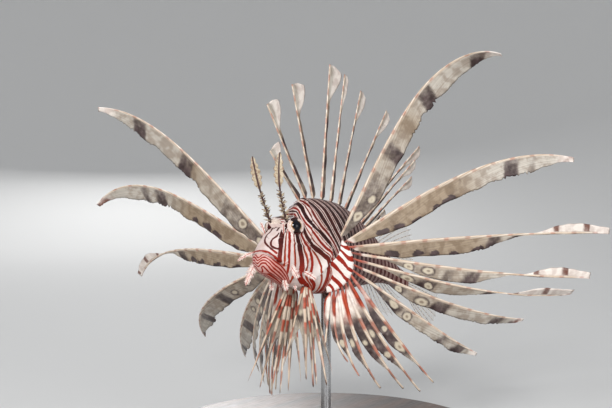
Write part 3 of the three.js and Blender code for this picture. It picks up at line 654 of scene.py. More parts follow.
def fish_skin(tree, place):
    mark = {name: add_node(tree, "Attribute", out="Fac", attribute_name=name)
            for name in ("ink", "thin", "red", "pale", "dark_ground_and_shade", "jaw")}
    noise = {size: add_node(tree, "TexNoise", {"Vector": place, "Scale": 1 / (size * MM)})
             for size in (PORES, WORN, LINE_EDGE, WET, TONE)}
    wobble = add_node(tree, "MapRange", {0: noise[LINE_EDGE], 3: -0.25, 4: 0.25})
    for name in ("ink", "thin"):
        edge = add_node(tree, "Math", {0: mark[name], 1: wobble}, operation="ADD")
        mark[name] = add_node(tree, "MapRange", {0: edge, 1: -0.09, 2: 0.09}, **SMOOTH)
    patches = add_node(tree, "MapRange", {0: noise[TONE], 1: 0.35, 2: 0.65}, **SMOOTH)
    worn = add_node(tree, "MapRange", {0: noise[WORN], 1: 0.45, 2: 0.8, 4: 0.35}, **SMOOTH)
    dark, brown = [
        add_node(tree, "Mix", {0: mark["red"], 6: paint(maroon), 7: paint(red)}, **COLOUR)
        for maroon, red in (("#240707", "#941f0a"), ("#43190f", "#a53a1b"))]
    line = add_node(tree, "Mix", {0: worn, 6: dark, 7: paint("#6e2413")}, **COLOUR)
    colour = paint("#d2c2bd")
    # The darker, redder ground of the flank is partly painted shade of the pectoral fins that hang
    # over it.
    for share, over in (
        (patches, paint("#c6aea6")), (mark["dark_ground_and_shade"], paint("#a87f78")),
        (mark["pale"], paint("#efe6e0")), (mark["jaw"], paint("#c98d84")),
        (mark["thin"], brown), (mark["ink"], line),
    ):
        colour = add_node(tree, "Mix", {0: share, 6: colour, 7: over}, **COLOUR)
    scales = add_node(tree, "TexVoronoi", {"Vector": place, "Scale": 1 / (SCALE_GRAIN * MM)})
    pores = add_node(tree, "Math", {0: noise[PORES], 1: 0.6, 2: scales}, operation="MULTIPLY_ADD")
    bump = add_node(tree, "Bump", {"Height": pores, "Strength": 0.35, "Distance": 0.12 * MM})
    wet = add_node(tree, "MapRange", {0: noise[WET], 1: 0.3, 2: 0.7, 3: 0.34, 4: 0.5}, **SMOOTH)
    return {
        "Base Color": colour, "Roughness": wet, "IOR": 1.38, "Specular IOR Level": 0.35,
        "Coat Weight": 0.05, "Coat Roughness": 0.25, "Normal": bump}


def add_grid(bm, points, fields):
    """A grid of quads in a mesh, with every corner moved to its point and its fields kept."""
    rows, columns = points.shape[0] - 1, points.shape[1] - 1
    placed = in_model(points)
    made = bmesh.ops.create_grid(bm, x_segments=rows, y_segments=columns, size=0.5)["verts"]
    layers = [(bm.verts.layers.float[key], fields[key].reshape(-1)) for key in fields]
    for corner in made:
        i = round((corner.co.x + 0.5) * rows) * (columns + 1) + round((corner.co.y + 0.5) * columns)
        corner.co = placed[i]
        for layer, values in layers:
            corner[layer] = values[i]


def closed_piece(name, grids, finish, slot, *nodes):
    """One object of several closed grids, with its doubles merged and its faces outwards."""
    bm = bmesh.new()
    for key in grids[0][1]:
        bm.verts.layers.float.new(key)
    for points, fields in grids:
        add_grid(bm, points, fields)
    bmesh.ops.remove_doubles(bm, verts=bm.verts, dist=1e-7)
    bmesh.ops.dissolve_degenerate(bm, edges=bm.edges, dist=1e-8)
    bmesh.ops.recalc_face_normals(bm, faces=bm.faces)
    return shown_piece(name, bm, finish, slot, *nodes)


def shown_piece(name, bm, finish, slot, *nodes):
    """A mesh as a smooth object with its finish, on the body and in place of its nodes."""
    for face in bm.faces:
        face.smooth = True
    mesh = bpy.data.meshes.new(name)
    bm.to_mesh(mesh)
    bm.free()
    mesh.materials.append(finish)
    piece = bpy.data.objects.new(name, mesh)
    bpy.context.scene.collection.objects.link(piece)
    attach(piece, "root")
    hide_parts(*nodes)
    return piece


body_grid = body_hide()
hide_grids = [body_grid, orbit_ring(LEFT), orbit_ring(RIGHT)]
hide_grids += [lobe_hide(fin) for fin in FINS.values()]
skin = new_finish("striped_fish_skin", fish_skin)
closed_piece(
    "hide", hide_grids, skin, "skin", "head", "lower_jaw", "gill_cover_left",
    "gill_cover_right", "trunk", "tail_stem", "pectoral_lobe_left", "pectoral_lobe_right")


# Scales: small overlapping scales from the cheek to the tail, each a thin shield with its
# front sunk in the skin and its rounded rear edge free. They carry the skin's own markings.
# The map OFBake gives each scale a small patch of its own.
SCALE_ROWS = 118
SCALES_AROUND = 62
SCALES_FROM = 24
SCALES_TO = 121.5
SCALE_GRID = (3, 2)
SCALE_PATCH = 0.003
SCALE_SIDE_RISE = 0.25
# From a scale's front edge to its rear: how far back, how wide and how high it lies.
SCALE_SHAPE = {
    "back": np.array([0.0, 0.55, 1.2, 1.42]),
    "width": np.array([0.5, 1.08, 0.85, 0.6]),
    "rise": np.array([-0.1, 0.1, 0.13, -0.08]),
}


def on_hide(layers, s, turn):
    """Values of the hide's own grid at places between its corners."""
    rows = hide_rows()
    row = np.interp(s, rows, np.arange(len(rows)))
    column = (turn / (2 * math.pi) % 1) * AROUND
    i = np.minimum(row.astype(int), len(rows) - 2)
    j = np.minimum(column.astype(int), AROUND - 1)
    a, b = row - i, column - j
    return {key: (v[i, j] * (1 - a) + v[i + 1, j] * a) * (1 - b)
            + (v[i, j + 1] * (1 - a) + v[i + 1, j + 1] * a) * b for key, v in layers.items()}


def scale_coat(points, marks, finish):
    """One grid of quads, split at every scale's edges and laid over the hide."""
    bm = bmesh.new()
    keep = [bm.verts.layers.float.new(key) for key in marks]
    deep, broad = SCALE_GRID
    across = deep * SCALE_ROWS, broad * SCALES_AROUND
    bmesh.ops.create_grid(bm, x_segments=across[0], y_segments=across[1], size=0.5)

    def steps(place):
        return round((place.x + 0.5) * across[0]), round((place.y + 0.5) * across[1])

    seams = []
    for edge in bm.edges:
        (a, b), (c, d) = [steps(corner.co) for corner in edge.verts]
        if a == c and a % deep == 0 or b == d and b % broad == 0:
            seams.append(edge)
    bmesh.ops.split_edges(bm, edges=seams)

    bm.verts.ensure_lookup_table()
    cell = np.zeros((len(bm.verts), 2), int)
    for face in bm.faces:
        middle = face.calc_center_median()
        place = (int((middle.x + 0.5) * across[0]) // deep,
                 int((middle.y + 0.5) * across[1]) // broad)
        for corner in face.verts:
            cell[corner.index] = place
    at = np.array([steps(corner.co) for corner in bm.verts]) - cell * np.array(SCALE_GRID)

    pitch = (SCALES_TO - SCALES_FROM) / SCALE_ROWS
    s = SCALES_FROM + pitch * (cell[:, 0] + SCALE_SHAPE["back"][at[:, 0]])
    side = (at[:, 1] / broad - 0.5) * SCALE_SHAPE["width"][at[:, 0]]
    turn = 2 * math.pi / SCALES_AROUND * (cell[:, 1] + 0.5 * (cell[:, 0] % 2) + side)
    rise = SCALE_SHAPE["rise"][at[:, 0]] * np.where(at[:, 1] == 1, 1, SCALE_SIDE_RISE)
    out = unit_normals(points)
    layers = {**marks, **{f"p{i}": points[..., i] for i in range(3)},
              **{f"n{i}": out[..., i] for i in range(3)}}
    found = on_hide(layers, s, turn)
    placed = in_model(np.stack([found[f"p{i}"] + rise * found[f"n{i}"] for i in range(3)], -1))
    for corner in bm.verts:
        corner.co = placed[corner.index]
        for layer, key in zip(keep, marks):
            corner[layer] = found[key][corner.index]

    bake = bm.loops.layers.uv.new("OFBake")
    scales = np.array([SCALE_ROWS + 1, SCALES_AROUND + 1])
    for face in bm.faces:
        for loop in face.loops:
            k = loop.vert.index
            loop[bake].uv = (cell[k] + 0.5) / scales + SCALE_PATCH * (at[k] / SCALE_GRID - 0.5)
    bmesh.ops.recalc_face_normals(bm, faces=bm.faces)
    inside = Vector((0, 0, PIVOT_HEIGHT * MM))
    facing = sum(face.normal.dot(face.calc_center_median() - inside) * face.calc_area()
                 for face in bm.faces)
    if facing < 0:
        bmesh.ops.reverse_faces(bm, faces=bm.faces)
    return shown_piece("scales", bm, finish, "skin")


scale_coat(*body_grid, skin)


# Eyes: glass taxidermy eyes, each a glossy ball with its iris painted on and its front domed.
# A dark bar of the head's pattern runs over the iris, above and below the blue-black pupil.
PUPIL = 2.15
IRIS = 2.5
CORNEA = 0.3
IRIS_FLECKS = 0.5


def glass_eye(side):
    """A ball turned about the eye's own line of sight, fuller in front."""
    centre, look, ahead, above = eye_frame(side)
    tilt, around = np.meshgrid(
        np.linspace(0, math.pi, 65), np.linspace(0, 2 * math.pi, 73), indexing="ij")
    radius = EYE_RADIUS + CORNEA * bump_at(tilt, 0.6)
    out = (radius * np.sin(tilt))[..., None]
    points = (
        centre
        + (radius * np.cos(tilt))[..., None] * look
        + out * np.cos(around)[..., None] * ahead
        + out * np.sin(around)[..., None] * above
    )
    from_axis = EYE_RADIUS * np.sin(tilt) + np.where(tilt > math.pi / 2, 9, 0)
    bar = np.sin(around + EYE_BAR_TURN) ** 2 - 0.7 + 0.08 * np.sin(around * 9)
    marks = {"pupil": PUPIL - from_axis, "iris": IRIS - from_axis, "bar": bar}
    return points, marks


def painted_glass(tree, place):
    """Painted glass: a bright point of light on a deep dark pupil makes the eye look alive."""
    mark = {}
    for name, edge in (("pupil", 0.08), ("iris", 0.08), ("bar", 0.12)):
        mark[name] = add_node(tree, "Attribute", out="Fac", attribute_name=name)
        mark[name] = add_node(tree, "MapRange", {0: mark[name], 1: -0.12, 2: edge}, **SMOOTH)
    flecks = add_node(tree, "TexNoise", {"Vector": place, "Scale": 1 / (IRIS_FLECKS * MM)})
    flecks = add_node(tree, "MapRange", {0: flecks, 1: 0.35, 2: 0.7}, **SMOOTH)
    rings = []
    for light, fleck, bar in (
        ("#e0d2c8", "#b9a08f", "#200b0a"), ("#b4864a", "#6e4420", "#1c0d0c"),
    ):
        ring = add_node(tree, "Mix", {0: flecks, 6: paint(light), 7: paint(fleck)}, **COLOUR)
        rings.append(add_node(tree, "Mix", {0: mark["bar"], 6: ring, 7: paint(bar)}, **COLOUR))
    white, gold = rings
    colour = add_node(tree, "Mix", {0: mark["iris"], 6: white, 7: gold}, **COLOUR)
    colour = add_node(tree, "Mix", {0: mark["pupil"], 6: colour, 7: paint("#05070d")}, **COLOUR)
    return {
        "Base Color": colour, "Roughness": 0.06, "IOR": 1.5, "Specular IOR Level": 0.3}


glass = new_finish("painted_glass_eye", painted_glass)
for name, side in (("left", LEFT), ("right", RIGHT)):
    closed_piece(f"glass_eye_{name}", [glass_eye(side)], glass, "eye", f"eye_{name}")


# Feelers and tags: soft leafy growths of skin over the eyes and round the mouth and cheeks.
# Each is a stem with a thin leaf, and fine side threads that make its edge feathery.
def curve(base, side, length, lift, sweep, bend=0.0, ease=2.0, swing=0.0, steps=240):
    """A path of a given length that bends up by bend degrees and out by swing degrees."""
    t = (np.arange(steps) + 0.5) / steps
    step = heading(lift + bend * t**ease, sweep + swing * t, side) * length / steps
    return np.vstack([base, base + np.cumsum(step, 0)])


def on_path(path, t):
    """Points at shares t of the way along a path."""
    x = np.clip(np.asarray(t, float), 0, 1) * (len(path) - 1)
    return np.stack([np.interp(x, np.arange(len(path)), column) for column in path.T], -1)


def unit(vectors):
    return vectors / np.maximum(np.linalg.norm(vectors, axis=-1, keepdims=True), 1e-9)


def blade_axes(path, t, toward):
    """Across and through directions of a blade, square to its path."""
    tangent = unit(on_path(path, np.asarray(t) + 0.02) - on_path(path, np.asarray(t) - 0.02))
    toward = toward + 0 * tangent
    across = unit(toward - (toward * tangent).sum(-1, keepdims=True) * tangent)
    return across, np.cross(tangent, across)


def wrapped(front, back):
    """Two faces of a thin sheet joined round its edges, as one closed grid."""
    return np.concatenate([front, back[:, ::-1], front[:, :1]], 1)


def thread(base, direction, length, radius, fields, curl=0.0, rows=5, sides=6):
    """A short tapered thread, closed at both ends."""
    t, turn = np.meshgrid(
        np.linspace(0, 1, rows + 1), np.linspace(0, 2 * math.pi, sides + 1), indexing="ij")
    direction = unit(np.asarray(direction, float))
    beside = unit(np.cross(direction, [0.3, 0.5, 0.81]))
    third = np.cross(direction, beside)
    r = radius * (1 - 0.75 * t) * np.where((t == 0) | (t == 1), 0, 1)
    points = (base + (t * length)[..., None] * direction + (curl * t**2)[..., None] * third
              + (r * np.cos(turn))[..., None] * beside + (r * np.sin(turn))[..., None] * third)
    return points, {key: value + 0 * t for key, value in fields.items()}


def leaf_width(t, root, leaf, start):
    """Half width of a stem that opens into a rounded leaf."""
    x = np.clip((t - start) / (1 - start), 0, 1)
    return root + leaf * np.sin(math.pi * x**0.8) ** 0.8


def leaf_blade(path, toward, width, rib, rows=72, comb=0.0, teeth=12):
    """A thin two-sided leaf with a raised midrib and a combed edge."""
    t = np.linspace(0, 1, rows + 1)
    across, through = blade_axes(path, t, toward)
    share = np.linspace(-1, 1, 15)
    wide = width(t) * (1 - comb * (0.5 + 0.5 * np.cos(2 * math.pi * teeth * t)) ** 2)
    u = wide[:, None] * share
    high = np.maximum(0.12 * (1 - share**2), 0) + np.maximum(rib(t)[:, None] ** 2 - u**2, 0) ** 0.5
    high[:, 0] = high[:, -1] = 0
    high[0] = high[-1] = 0
    fold = 0.22 * np.abs(u) + 0.12 * np.abs(u) * np.sin(23 * t)[:, None]
    centre = on_path(path, t)[:, None]
    faces = [centre + u[..., None] * across[:, None] + (fold + sign * high)[..., None]
             * through[:, None] for sign in (1, -1)]
    ribbed = smooth(1.35, 0.75, np.abs(u) / np.maximum(rib(t)[:, None], 0.05))
    return wrapped(*faces), {"rib": wrapped(ribbed, ribbed)}


SPECKS = 0.9
FROND_PORES = 0.4


def frond_skin(tree, place, leaf, speck, rib):
    """Thin moist skin, speckled so that its threads stand apart, with a darker midrib."""
    flecks = add_node(tree, "TexNoise", {"Vector": place, "Scale": 1 / (SPECKS * MM)})
    flecks = add_node(tree, "MapRange", {0: flecks, 1: 0.42, 2: 0.66}, **SMOOTH)
    ribs = add_node(tree, "Attribute", out="Fac", attribute_name="rib")
    colour = add_node(tree, "Mix", {0: flecks, 6: paint(leaf), 7: paint(speck)}, **COLOUR)
    colour = add_node(tree, "Mix", {0: ribs, 6: colour, 7: paint(rib)}, **COLOUR)
    pores = add_node(tree, "TexNoise", {"Vector": place, "Scale": 1 / (FROND_PORES * MM)})
    bump = add_node(tree, "Bump", {"Height": pores, "Strength": 0.4, "Distance": 0.1 * MM})
    return {
        "Base Color": colour, "Roughness": 0.45, "IOR": 1.4, "Coat Weight": 0.15,
        "Coat Roughness": 0.3, "Normal": bump}


FEELER_TOWARD = np.array([0.65, 0.76, 0])
FEELER_THREADS = 64
FEELERS = {
    "left": (LEFT, (15, 5.2, 12), 34, 122, -6, -40, 1.4),
    "right": (RIGHT, (15, 5, 12), 33, 117, -18, -12, 1.2),
}


def feeler(side, base, length, lift, sweep, bend, ease):
    """A stem with a leaf on its outer half, and threads all round its inner half."""
    chance = random.Random(7 + side)
    path = curve(np.array(base) * np.array([1, side, 1]), side, length, lift, sweep, bend, ease)
    grids = [leaf_blade(
        path, FEELER_TOWARD, lambda t: leaf_width(t, 0.62 - 0.3 * t, 2.1, 0.52),
        lambda t: 0.62 - 0.34 * t, comb=0.3, teeth=11)]
    for k in range(FEELER_THREADS):
        t = 0.03 + 0.43 * k / FEELER_THREADS
        turn = math.radians(chance.uniform(0, 360))
        across, through = blade_axes(path, np.array([t]), FEELER_TOWARD)
        out = across[0] * math.cos(turn) + through[0] * math.sin(turn)
        rise = unit(on_path(path, t + 0.03) - on_path(path, t))
        size = chance.uniform(1.6, 3) * (1.25 - t)
        grids.append(thread(on_path(path, t), out + 0.45 * rise, size, 0.5,
                            {"rib": 0.75 * (k % 3 == 0)}, curl=chance.uniform(-0.6, 0.6)))
    return grids


feeler_skin = new_finish("speckled_feeler_skin", frond_skin, "#b5a68c", "#8d7460", "#3a1d1f")
for name, spec in FEELERS.items():
    closed_piece(f"feeler_{name}", feeler(*spec), feeler_skin, "fin_rays", f"tentacle_{name}")


THREADS_PER_MM = 2
# Each tag's base, its tip and the width of its leaf.
TAGS = [
    ((16, 4, -14), (18, 4.6, -20), 1.3), ((16, -4, -14), (18, -4.6, -20), 1.3),
    ((14.6, 7.6, -7), (18.8, 10.8, -14), 1.7), ((9.6, -6.8, -4.6), (4.6, -9.4, -18.6), 1.9),
    ((12, 7, -3.6), (11.8, 9.4, -8.4), 0.5), ((5.2, -4.6, -2.4), (-3.2, -8, -7.6), 0.8),
    ((23.4, 9.4, -10.4), (27.6, 14.4, -14), 1.3), ((23.4, -9.4, -10.4), (27.6, -14.4, -14), 1.3),
    ((23, 4.4, -15), (24.4, 4.8, -19.6), 0.5), ((23, -4.4, -15), (24.4, -4.8, -19.6), 0.5),
    ((12.4, 5.8, 6.2), (10, 7, 11.8), 0.4), ((12.4, -5.8, 6.2), (10, -7, 11.8), 0.4),
]


def skin_tag(index, base, tip, leaf):
    """A flat leaf with a pair of threads at each step of its edge."""
    chance = random.Random(100 + index)
    base, tip = np.array(base, float), np.array(tip, float)
    length = np.linalg.norm(tip - base)
    share = np.linspace(0, 1, 41)[:, None]
    path = base + (tip - base) * share + np.array([0, 0, 0.06 * length]) * np.sin(math.pi * share)
    grids = [leaf_blade(
        path, FEELER_TOWARD, lambda t: leaf_width(t, 0.35 - 0.2 * t, 0.7 * leaf, 0.1),
        lambda t: 0.2 - 0.1 * t, rows=36, comb=0.3, teeth=7)]
    count = int(length * THREADS_PER_MM)
    for k in range(2 * count):
        t = 0.12 + 0.82 * (k // 2) / count
        across, through = blade_axes(path, np.array([t]), FEELER_TOWARD)
        sign = 1 if k % 2 else -1
        out = sign * across[0] + chance.uniform(-0.5, 0.5) * through[0]
        rise = unit(tip - base)
        size = float(leaf_width(t, 0.6, leaf, 0.05)) * chance.uniform(0.9, 1.35)
        grids.append(thread(on_path(path, t), out + 0.7 * rise, size, 0.26,
                            {"rib": chance.choice((0.0, 0.0, 0.0, 0.45))},
                            curl=chance.uniform(-0.4, 0.4)))
    return grids


tag_grids = [grid for index, spec in enumerate(TAGS) for grid in skin_tag(index, *spec)]
tag_skin = new_finish("feathery_tag_skin", frond_skin, "#ecdfd8", "#d9bcb1", "#a3321d")
closed_piece("skin_tags", tag_grids, tag_skin, "skin")


# Pectoral fins: fourteen rays on each side, each a stiff rod with a thin ragged membrane on
# the side of the next ray down. Three of the upper rays end in a flag on their upper side.
# The rods are white with thin red bands, and the membranes are mottled dusky and pale.
LENGTHS = [128, 128, 128, 120, 112, 98, 84, 71, 67, 61, 54, 43, 35, 25]
BLADES = [10, 9.5, 8, 7, 6.5, 6.5, 6, 5.5, 5, 4.5, 4, 3.5, 3, 3]
FLAGGED_RAYS = (3, 4, 5)
FLAG_WIDTH = 4.6
CURLED_RAYS = (3, 4)
CURL_TURN = np.array([0.35, 0.5, -0.2])
ROOT_IN_LOBE = 4
SKIN_HALF = 0.16
UPPER_RAYS = 7
# Each ray's lift and sweep in degrees, its bend, how late that comes, and its swing outwards.
RAY_SHAPES = {
    "left": [
        (66, 61, -92, 3.9, 22), (35, 52, -43, 2.6, -14), (8, 53, -6, 2, -6),
        (-7, 52, 10, 1.3, -13), (-13, 53, 22, 2, -18), (-20, 49, 21, 1.9, -32),
        (-31, 46, 16, 2.5, -40), (-50, 46, 16, 2.2, -40), (-59, 49, 20, 1.6, -36),
        (-65, 49, 30, 1.8, -40), (-73, 50, 34, 2.4, -40), (-81, 52, 30, 2.6, -20),
        (-88, 52, 42, 2.4, 0), (-70, 150, -14, 2, 0),
    ],
    "right": [
        (44, 114, -47, 4.5, 14), (28, 107, -78, 4, -8), (7, 101, -38, 2.5, -39),
        (-19, 98, -2, 2, -70), (-28, 70, 6, 2, -40), (-36, 64, 8, 2, -36),
        (-46, 62, 10, 2, -34), (-56, 60, 12, 2, -32), (-65, 60, 14, 2, -30),
        (-74, 62, 16, 2, -28), (-83, 64, 18, 2, -24), (-86, 90, 3, 2, 0), (-88, 105, 0, 2, 0),
        (-89, 160, 0, 2, 0),
    ],
}


def ray_paths(name):
    """The middle line of every ray of a fin, from the lobe's edge out."""
    fin = FINS[name]
    centre = np.array(fin["hinge"]) * np.array([1, fin["side"], 1])
    paths = []
    for k, (lift, sweep, bend, ease, swing) in enumerate(RAY_SHAPES[name]):
        base = centre + fin["reach"] * heading(fin["angle"](k), fin["facing"], fin["side"])
        paths.append(curve(base, fin["side"], LENGTHS[k], lift, sweep, bend, ease, swing))
    return paths


def waves(x, seed):
    """A smooth uneven wave between about -1 and 1."""
    return 0.62 * np.sin(x + 2.1 * seed) + 0.38 * np.sin(2.3 * x + 5.3 * seed)


def ray_blade(path, length, toward, rod, flag, wide, root, ruffle=0.0, fray=0.0, seed=0.0,
              step=0.95):
    """Grid of a rod with a membrane on one side and, where there is one, a flag on the other."""
    t = np.linspace(-root / length, 1, int((length + root) / step) + 1)
    along = t * length
    inside = np.clip(t, 0, 1)
    across, through = blade_axes(path, inside, toward(inside))
    start = unit(path[3] - path[0])
    centre = on_path(path, inside) + np.minimum(along, 0)[:, None] * start
    r = rod(inside)

    # the web's free edge is ragged, and frayed on its outer half
    torn = smooth(0.3, 0.6, inside) * (0.35 + 0.65 * smooth(-0.2, 0.6, waves(along / 9, seed)))
    ragged = 1 - fray * torn * np.abs(np.sin(along / 1.25 + seed + np.sin(along))) ** 3
    ragged *= 1 - 0.05 * waves(along / 5, seed)
    grown = smooth(-0.2, 3, along)
    edge = r + np.maximum((wide(inside) * ragged - r) * grown, 0.02)
    upper = r + np.maximum(flag(inside) * (0.95 + 0.07 * waves(along / 2.2, seed + 3)), 0.02)

    # across the blade lie the flag, the round rod and the web
    u = np.concatenate([
        -upper[:, None] + (upper - r)[:, None] * np.linspace(0, 1, 6)[:-1],
        -r[:, None] * np.cos(np.linspace(0, math.pi, 9))[:-1],
        r[:, None] + (edge - r)[:, None] * np.linspace(0, 1, 12),
    ], 1)
    skin = SKIN_HALF * np.sqrt(np.clip((edge[:, None] - u) / 1.2, 0, 1))
    skin *= np.sqrt(np.clip((u + upper[:, None]) / 0.6, 0, 1))
    high = np.maximum(skin, np.sqrt(np.maximum(r[:, None] ** 2 - u**2, 0)))
    high[:, 0] = high[:, -1] = 0
    high[0] = high[-1] = 0

    # the web ruffles more toward its edge
    v = np.clip((u - r[:, None]) / np.maximum(edge - r, 0.3)[:, None], 0, 1)
    wave = waves(along / 3.4, seed)[:, None] * v**1.5 * ruffle * smooth(2, 25, along)[:, None]
    wave += 0.25 * ruffle * np.sin(along / 1.1 + seed)[:, None] * v**3 * (edge > 3)[:, None]
    wave -= 0.18 * ruffle * v * (edge - r)[:, None]
    faces = [centre[:, None] + u[..., None] * across[:, None]
             + (wave + sign * high)[..., None] * through[:, None] for sign in (1, -1)]
    flat = {"t": inside[:, None] + 0 * u, "along": along[:, None] + 0 * u, "u": u, "v": v,
            "r": r[:, None] + 0 * u, "edge": edge[:, None] + 0 * u}
    return wrapped(*faces), {key: wrapped(value, value) for key, value in flat.items()}


def rod_radius(t):
    """A ray's rod is thickest just outside the lobe and tapers to its tip."""
    return 0.42 + 0.22 * smooth(0, 0.12, t) - 0.36 * smooth(0.15, 1, t)


def spots_in(place, along, v, first, last, pitch, at_v, size, seed=0.0):
    """How far inside the nearest of a row of uneven oval spots a point is, in millimetres."""
    k = np.clip(np.rint((along - first) / pitch), 0, max(0, int((last - first) / pitch)))
    here = first + k * pitch + 1.3 * np.sin(4 * k + 5 * seed)
    long = 1.25 + 0.3 * np.sin(3 * k + 2 * seed)
    gap = np.hypot((along - here) / long, (v - at_v - 0.12 * np.sin(k + 3 * seed)) * place["edge"])
    return size * (0.88 + 0.22 * np.sin(5 * k + 4 * seed)) - gap


DARK_BASE = (0.6, 0.17, 0.3, 0.4, 0.4, 0.85)
TAN_RAYS = {1: 0.95, 2: 0.9}
WHITE_ROOT = (5, 9, 20)
SPOT_PITCH = 11.5
RED_RAY = 1.15


def ray_marks(place, k, upper, seed):
    """Bands of the rod, blotches, eye spots, tan and pale places of one ray."""
    along, t, u, v, r = (place[key] for key in ("along", "t", "u", "v", "r"))
    rod = smooth(1.35, 0.9, np.abs(u) / r)
    period, half_band, softness, blotch = (10.5, 1.1, 1, 5.8) if upper else (15, 3.4, 0.5, 4.2)
    band = (half_band - np.abs((along + 3.1 * seed) % period - period / 2)) * softness

    # dusky blotches, darkest at the base, and all along the web of the lowest rays
    dark_base = 1 - smooth(0.18, 0.42, t)
    blot = smooth(0.05, 0.6, waves(along / blotch + 0.5 * v, seed)) * (0.62 + 0.35 * v)
    blot = np.maximum(blot * (1 - 0.6 * dark_base * (k < 1)),
                      dark_base * DARK_BASE[min(k, len(DARK_BASE) - 1)])
    blot = np.maximum(blot, 0.85 * (k > 6) * (1 - smooth(0.6, 0.85, t)))
    tan = TAN_RAYS.get(k, 0.35 * upper) * (1 - smooth(0.45, 0.65, t))
    tan = np.maximum(tan, 0.8 * bump_at(t - 0.5, 0.07) * (k == 0))

    # pale eye spots in dark rings, in a row down the middle of the web
    first = 13 if k < 3 else 24 + 3 * (seed % 2)
    size = 2 + 0.5 * (k == 0)
    spot = spots_in(place, along, v, first, first + 20 - k, SPOT_PITCH, 0.5, size, seed)
    spot = np.where(k in TAN_RAYS, -3, spot)
    blot = np.maximum(blot, 0.8 * smooth(-1.6, -0.3, spot))

    # next to the lobe its own stripes go on: every second ray is red and the rest is white
    white_root = WHITE_ROOT[(k > 2) + (k > 6)]
    near_lobe = smooth(white_root, white_root / 3, along) * (k > 0)
    to_red_ray = np.abs(u) if k % 2 == 0 else (1 - v) * place["edge"]
    band = band + (RED_RAY - to_red_ray - band) * near_lobe
    rod = np.maximum(rod, near_lobe)

    # the two tan rays have a row of dark ovals along their free edge
    if k in TAN_RAYS:
        ovals = spots_in(place, along / 1.6, v, 8 + 3 * k, 40, 6, 0.9, 1.9, seed)
        ovals += 0.7 * waves(along / 1.7 + 2 * v, seed)
        blot = np.maximum(np.where(t < 0.5, blot * 0.4, blot), 1.15 * smooth(-0.3, 0.4, ovals))

    # pale tips, and pale flags with dark crossbars
    pale = smooth(0.9, 0.97, t) if upper else 0 * t
    flag = smooth(-0.9, -1.4, u / r)
    pale = np.maximum(np.maximum(pale, 0.9 * flag), near_lobe)
    cross = flag * smooth(0.3, 0.7, waves(along / 2.6, seed))
    blot = np.maximum(blot * (1 - near_lobe) * (1 - flag), 0.8 * cross)
    return {"rod": rod, "band": band, "blot": blot, "spot": spot, "tan": tan, "pale": pale,
            "fibre": u + 0.12 * along,
            "strong": 0.42 + 0.26 * (1 - upper) * smooth(0, 0.2, t) + 0.5 * near_lobe}


FIN_PORES, SPOT_EDGE, BLOTCH_EDGE, MOTTLE = 0.5, 2, 2.2, 4


def fin_skin(tree, place):
    """Dry-looking fin membrane: fine ribs catch the light along each ray, over soft blotches."""
    mark = {name: add_node(tree, "Attribute", out="Fac", attribute_name=name)
            for name in ("rod", "band", "blot", "spot", "tan", "pale", "fibre", "strong")}
    noise = {size: add_node(tree, "TexNoise", {"Vector": place, "Scale": 1 / (size * MM),
                                               "Detail": detail})
             for size, detail in ((FIN_PORES, 3.0), (SPOT_EDGE, 2.0), (BLOTCH_EDGE, 2.0),
                                  (MOTTLE, 3.0))}
    mottle = add_node(tree, "MapRange", {0: noise[MOTTLE], 1: 0.38, 2: 0.62}, **SMOOTH)
    fibres = add_node(tree, "TexNoise", {"W": mark["fibre"], "Scale": 1.6},
                      noise_dimensions="1D")
    lines = add_node(tree, "MapRange", {0: fibres, 1: 0.35, 2: 0.65}, **SMOOTH)
    wobble = add_node(tree, "MapRange", {0: noise[BLOTCH_EDGE], 3: -0.3, 4: 0.3})
    uneven = add_node(tree, "MapRange", {0: noise[SPOT_EDGE], 3: -0.7, 4: 0.7})
    blot, spot, band = [
        add_node(tree, "Math", {0: mark[name], 1: shift}, operation="ADD")
        for name, shift in (("blot", wobble), ("spot", uneven), ("band", wobble))]
    blot = add_node(tree, "MapRange", {0: blot, 1: 0.15, 2: 0.95}, **SMOOTH)
    ring = add_node(tree, "MapRange", {0: spot, 1: -0.5, 2: 0.6, 4: 0.9}, **SMOOTH)
    heart = add_node(tree, "MapRange", {0: spot, 1: 1.0, 2: 1.8, 4: 0.7}, **SMOOTH)
    band = add_node(tree, "MapRange", {0: band, 1: -0.7, 2: 0.5}, **SMOOTH)
    band = add_node(tree, "Math", {0: band, 1: mark["strong"]}, operation="MULTIPLY")
    streaks = add_node(tree, "Math", {0: lines, 1: 0.3}, operation="MULTIPLY")
    ground, tan, dusky, tip, red = [
        add_node(tree, "Mix", {0: mottle, 6: paint(one), 7: paint(other)}, **COLOUR)
        for one, other in (("#bdb6ab", "#9d9286"), ("#94826b", "#7c6953"), ("#4b3b3a", "#332524"),
                           ("#e6dcd3", "#cfc1b8"), ("#a63a18", "#7a2812"))]
    white = add_node(tree, "Mix", {0: blot, 6: tip, 7: paint("#6d4438")}, **COLOUR)
    rod = add_node(tree, "Mix", {0: lines, 6: paint("#ddd0c0"), 7: paint("#bda58e")}, **COLOUR)
    rod = add_node(tree, "Mix", {0: mark["pale"], 6: rod, 7: tip}, **COLOUR)
    rod = add_node(tree, "Mix", {0: band, 6: rod, 7: red}, **COLOUR)
    colour = ground
    for share, over in (
        (mark["tan"], tan), (streaks, paint("#6c5b50")), (blot, dusky), (ring, paint("#c0b49f")),
        (heart, paint("#5f4a3d")), (mark["pale"], white), (mark["rod"], rod),
    ):
        colour = add_node(tree, "Mix", {0: share, 6: colour, 7: over}, **COLOUR)
    ribs = add_node(tree, "Math", {0: noise[FIN_PORES], 1: fibres}, operation="ADD")
    bump = add_node(tree, "Bump", {"Height": ribs, "Strength": 0.4, "Distance": 0.12 * MM})
    return {
        "Base Color": colour, "Roughness": 0.45, "IOR": 1.38, "Coat Weight": 0.08,
        "Coat Roughness": 0.3, "Normal": bump}


membrane = new_finish("mottled_fin_membrane", fin_skin)


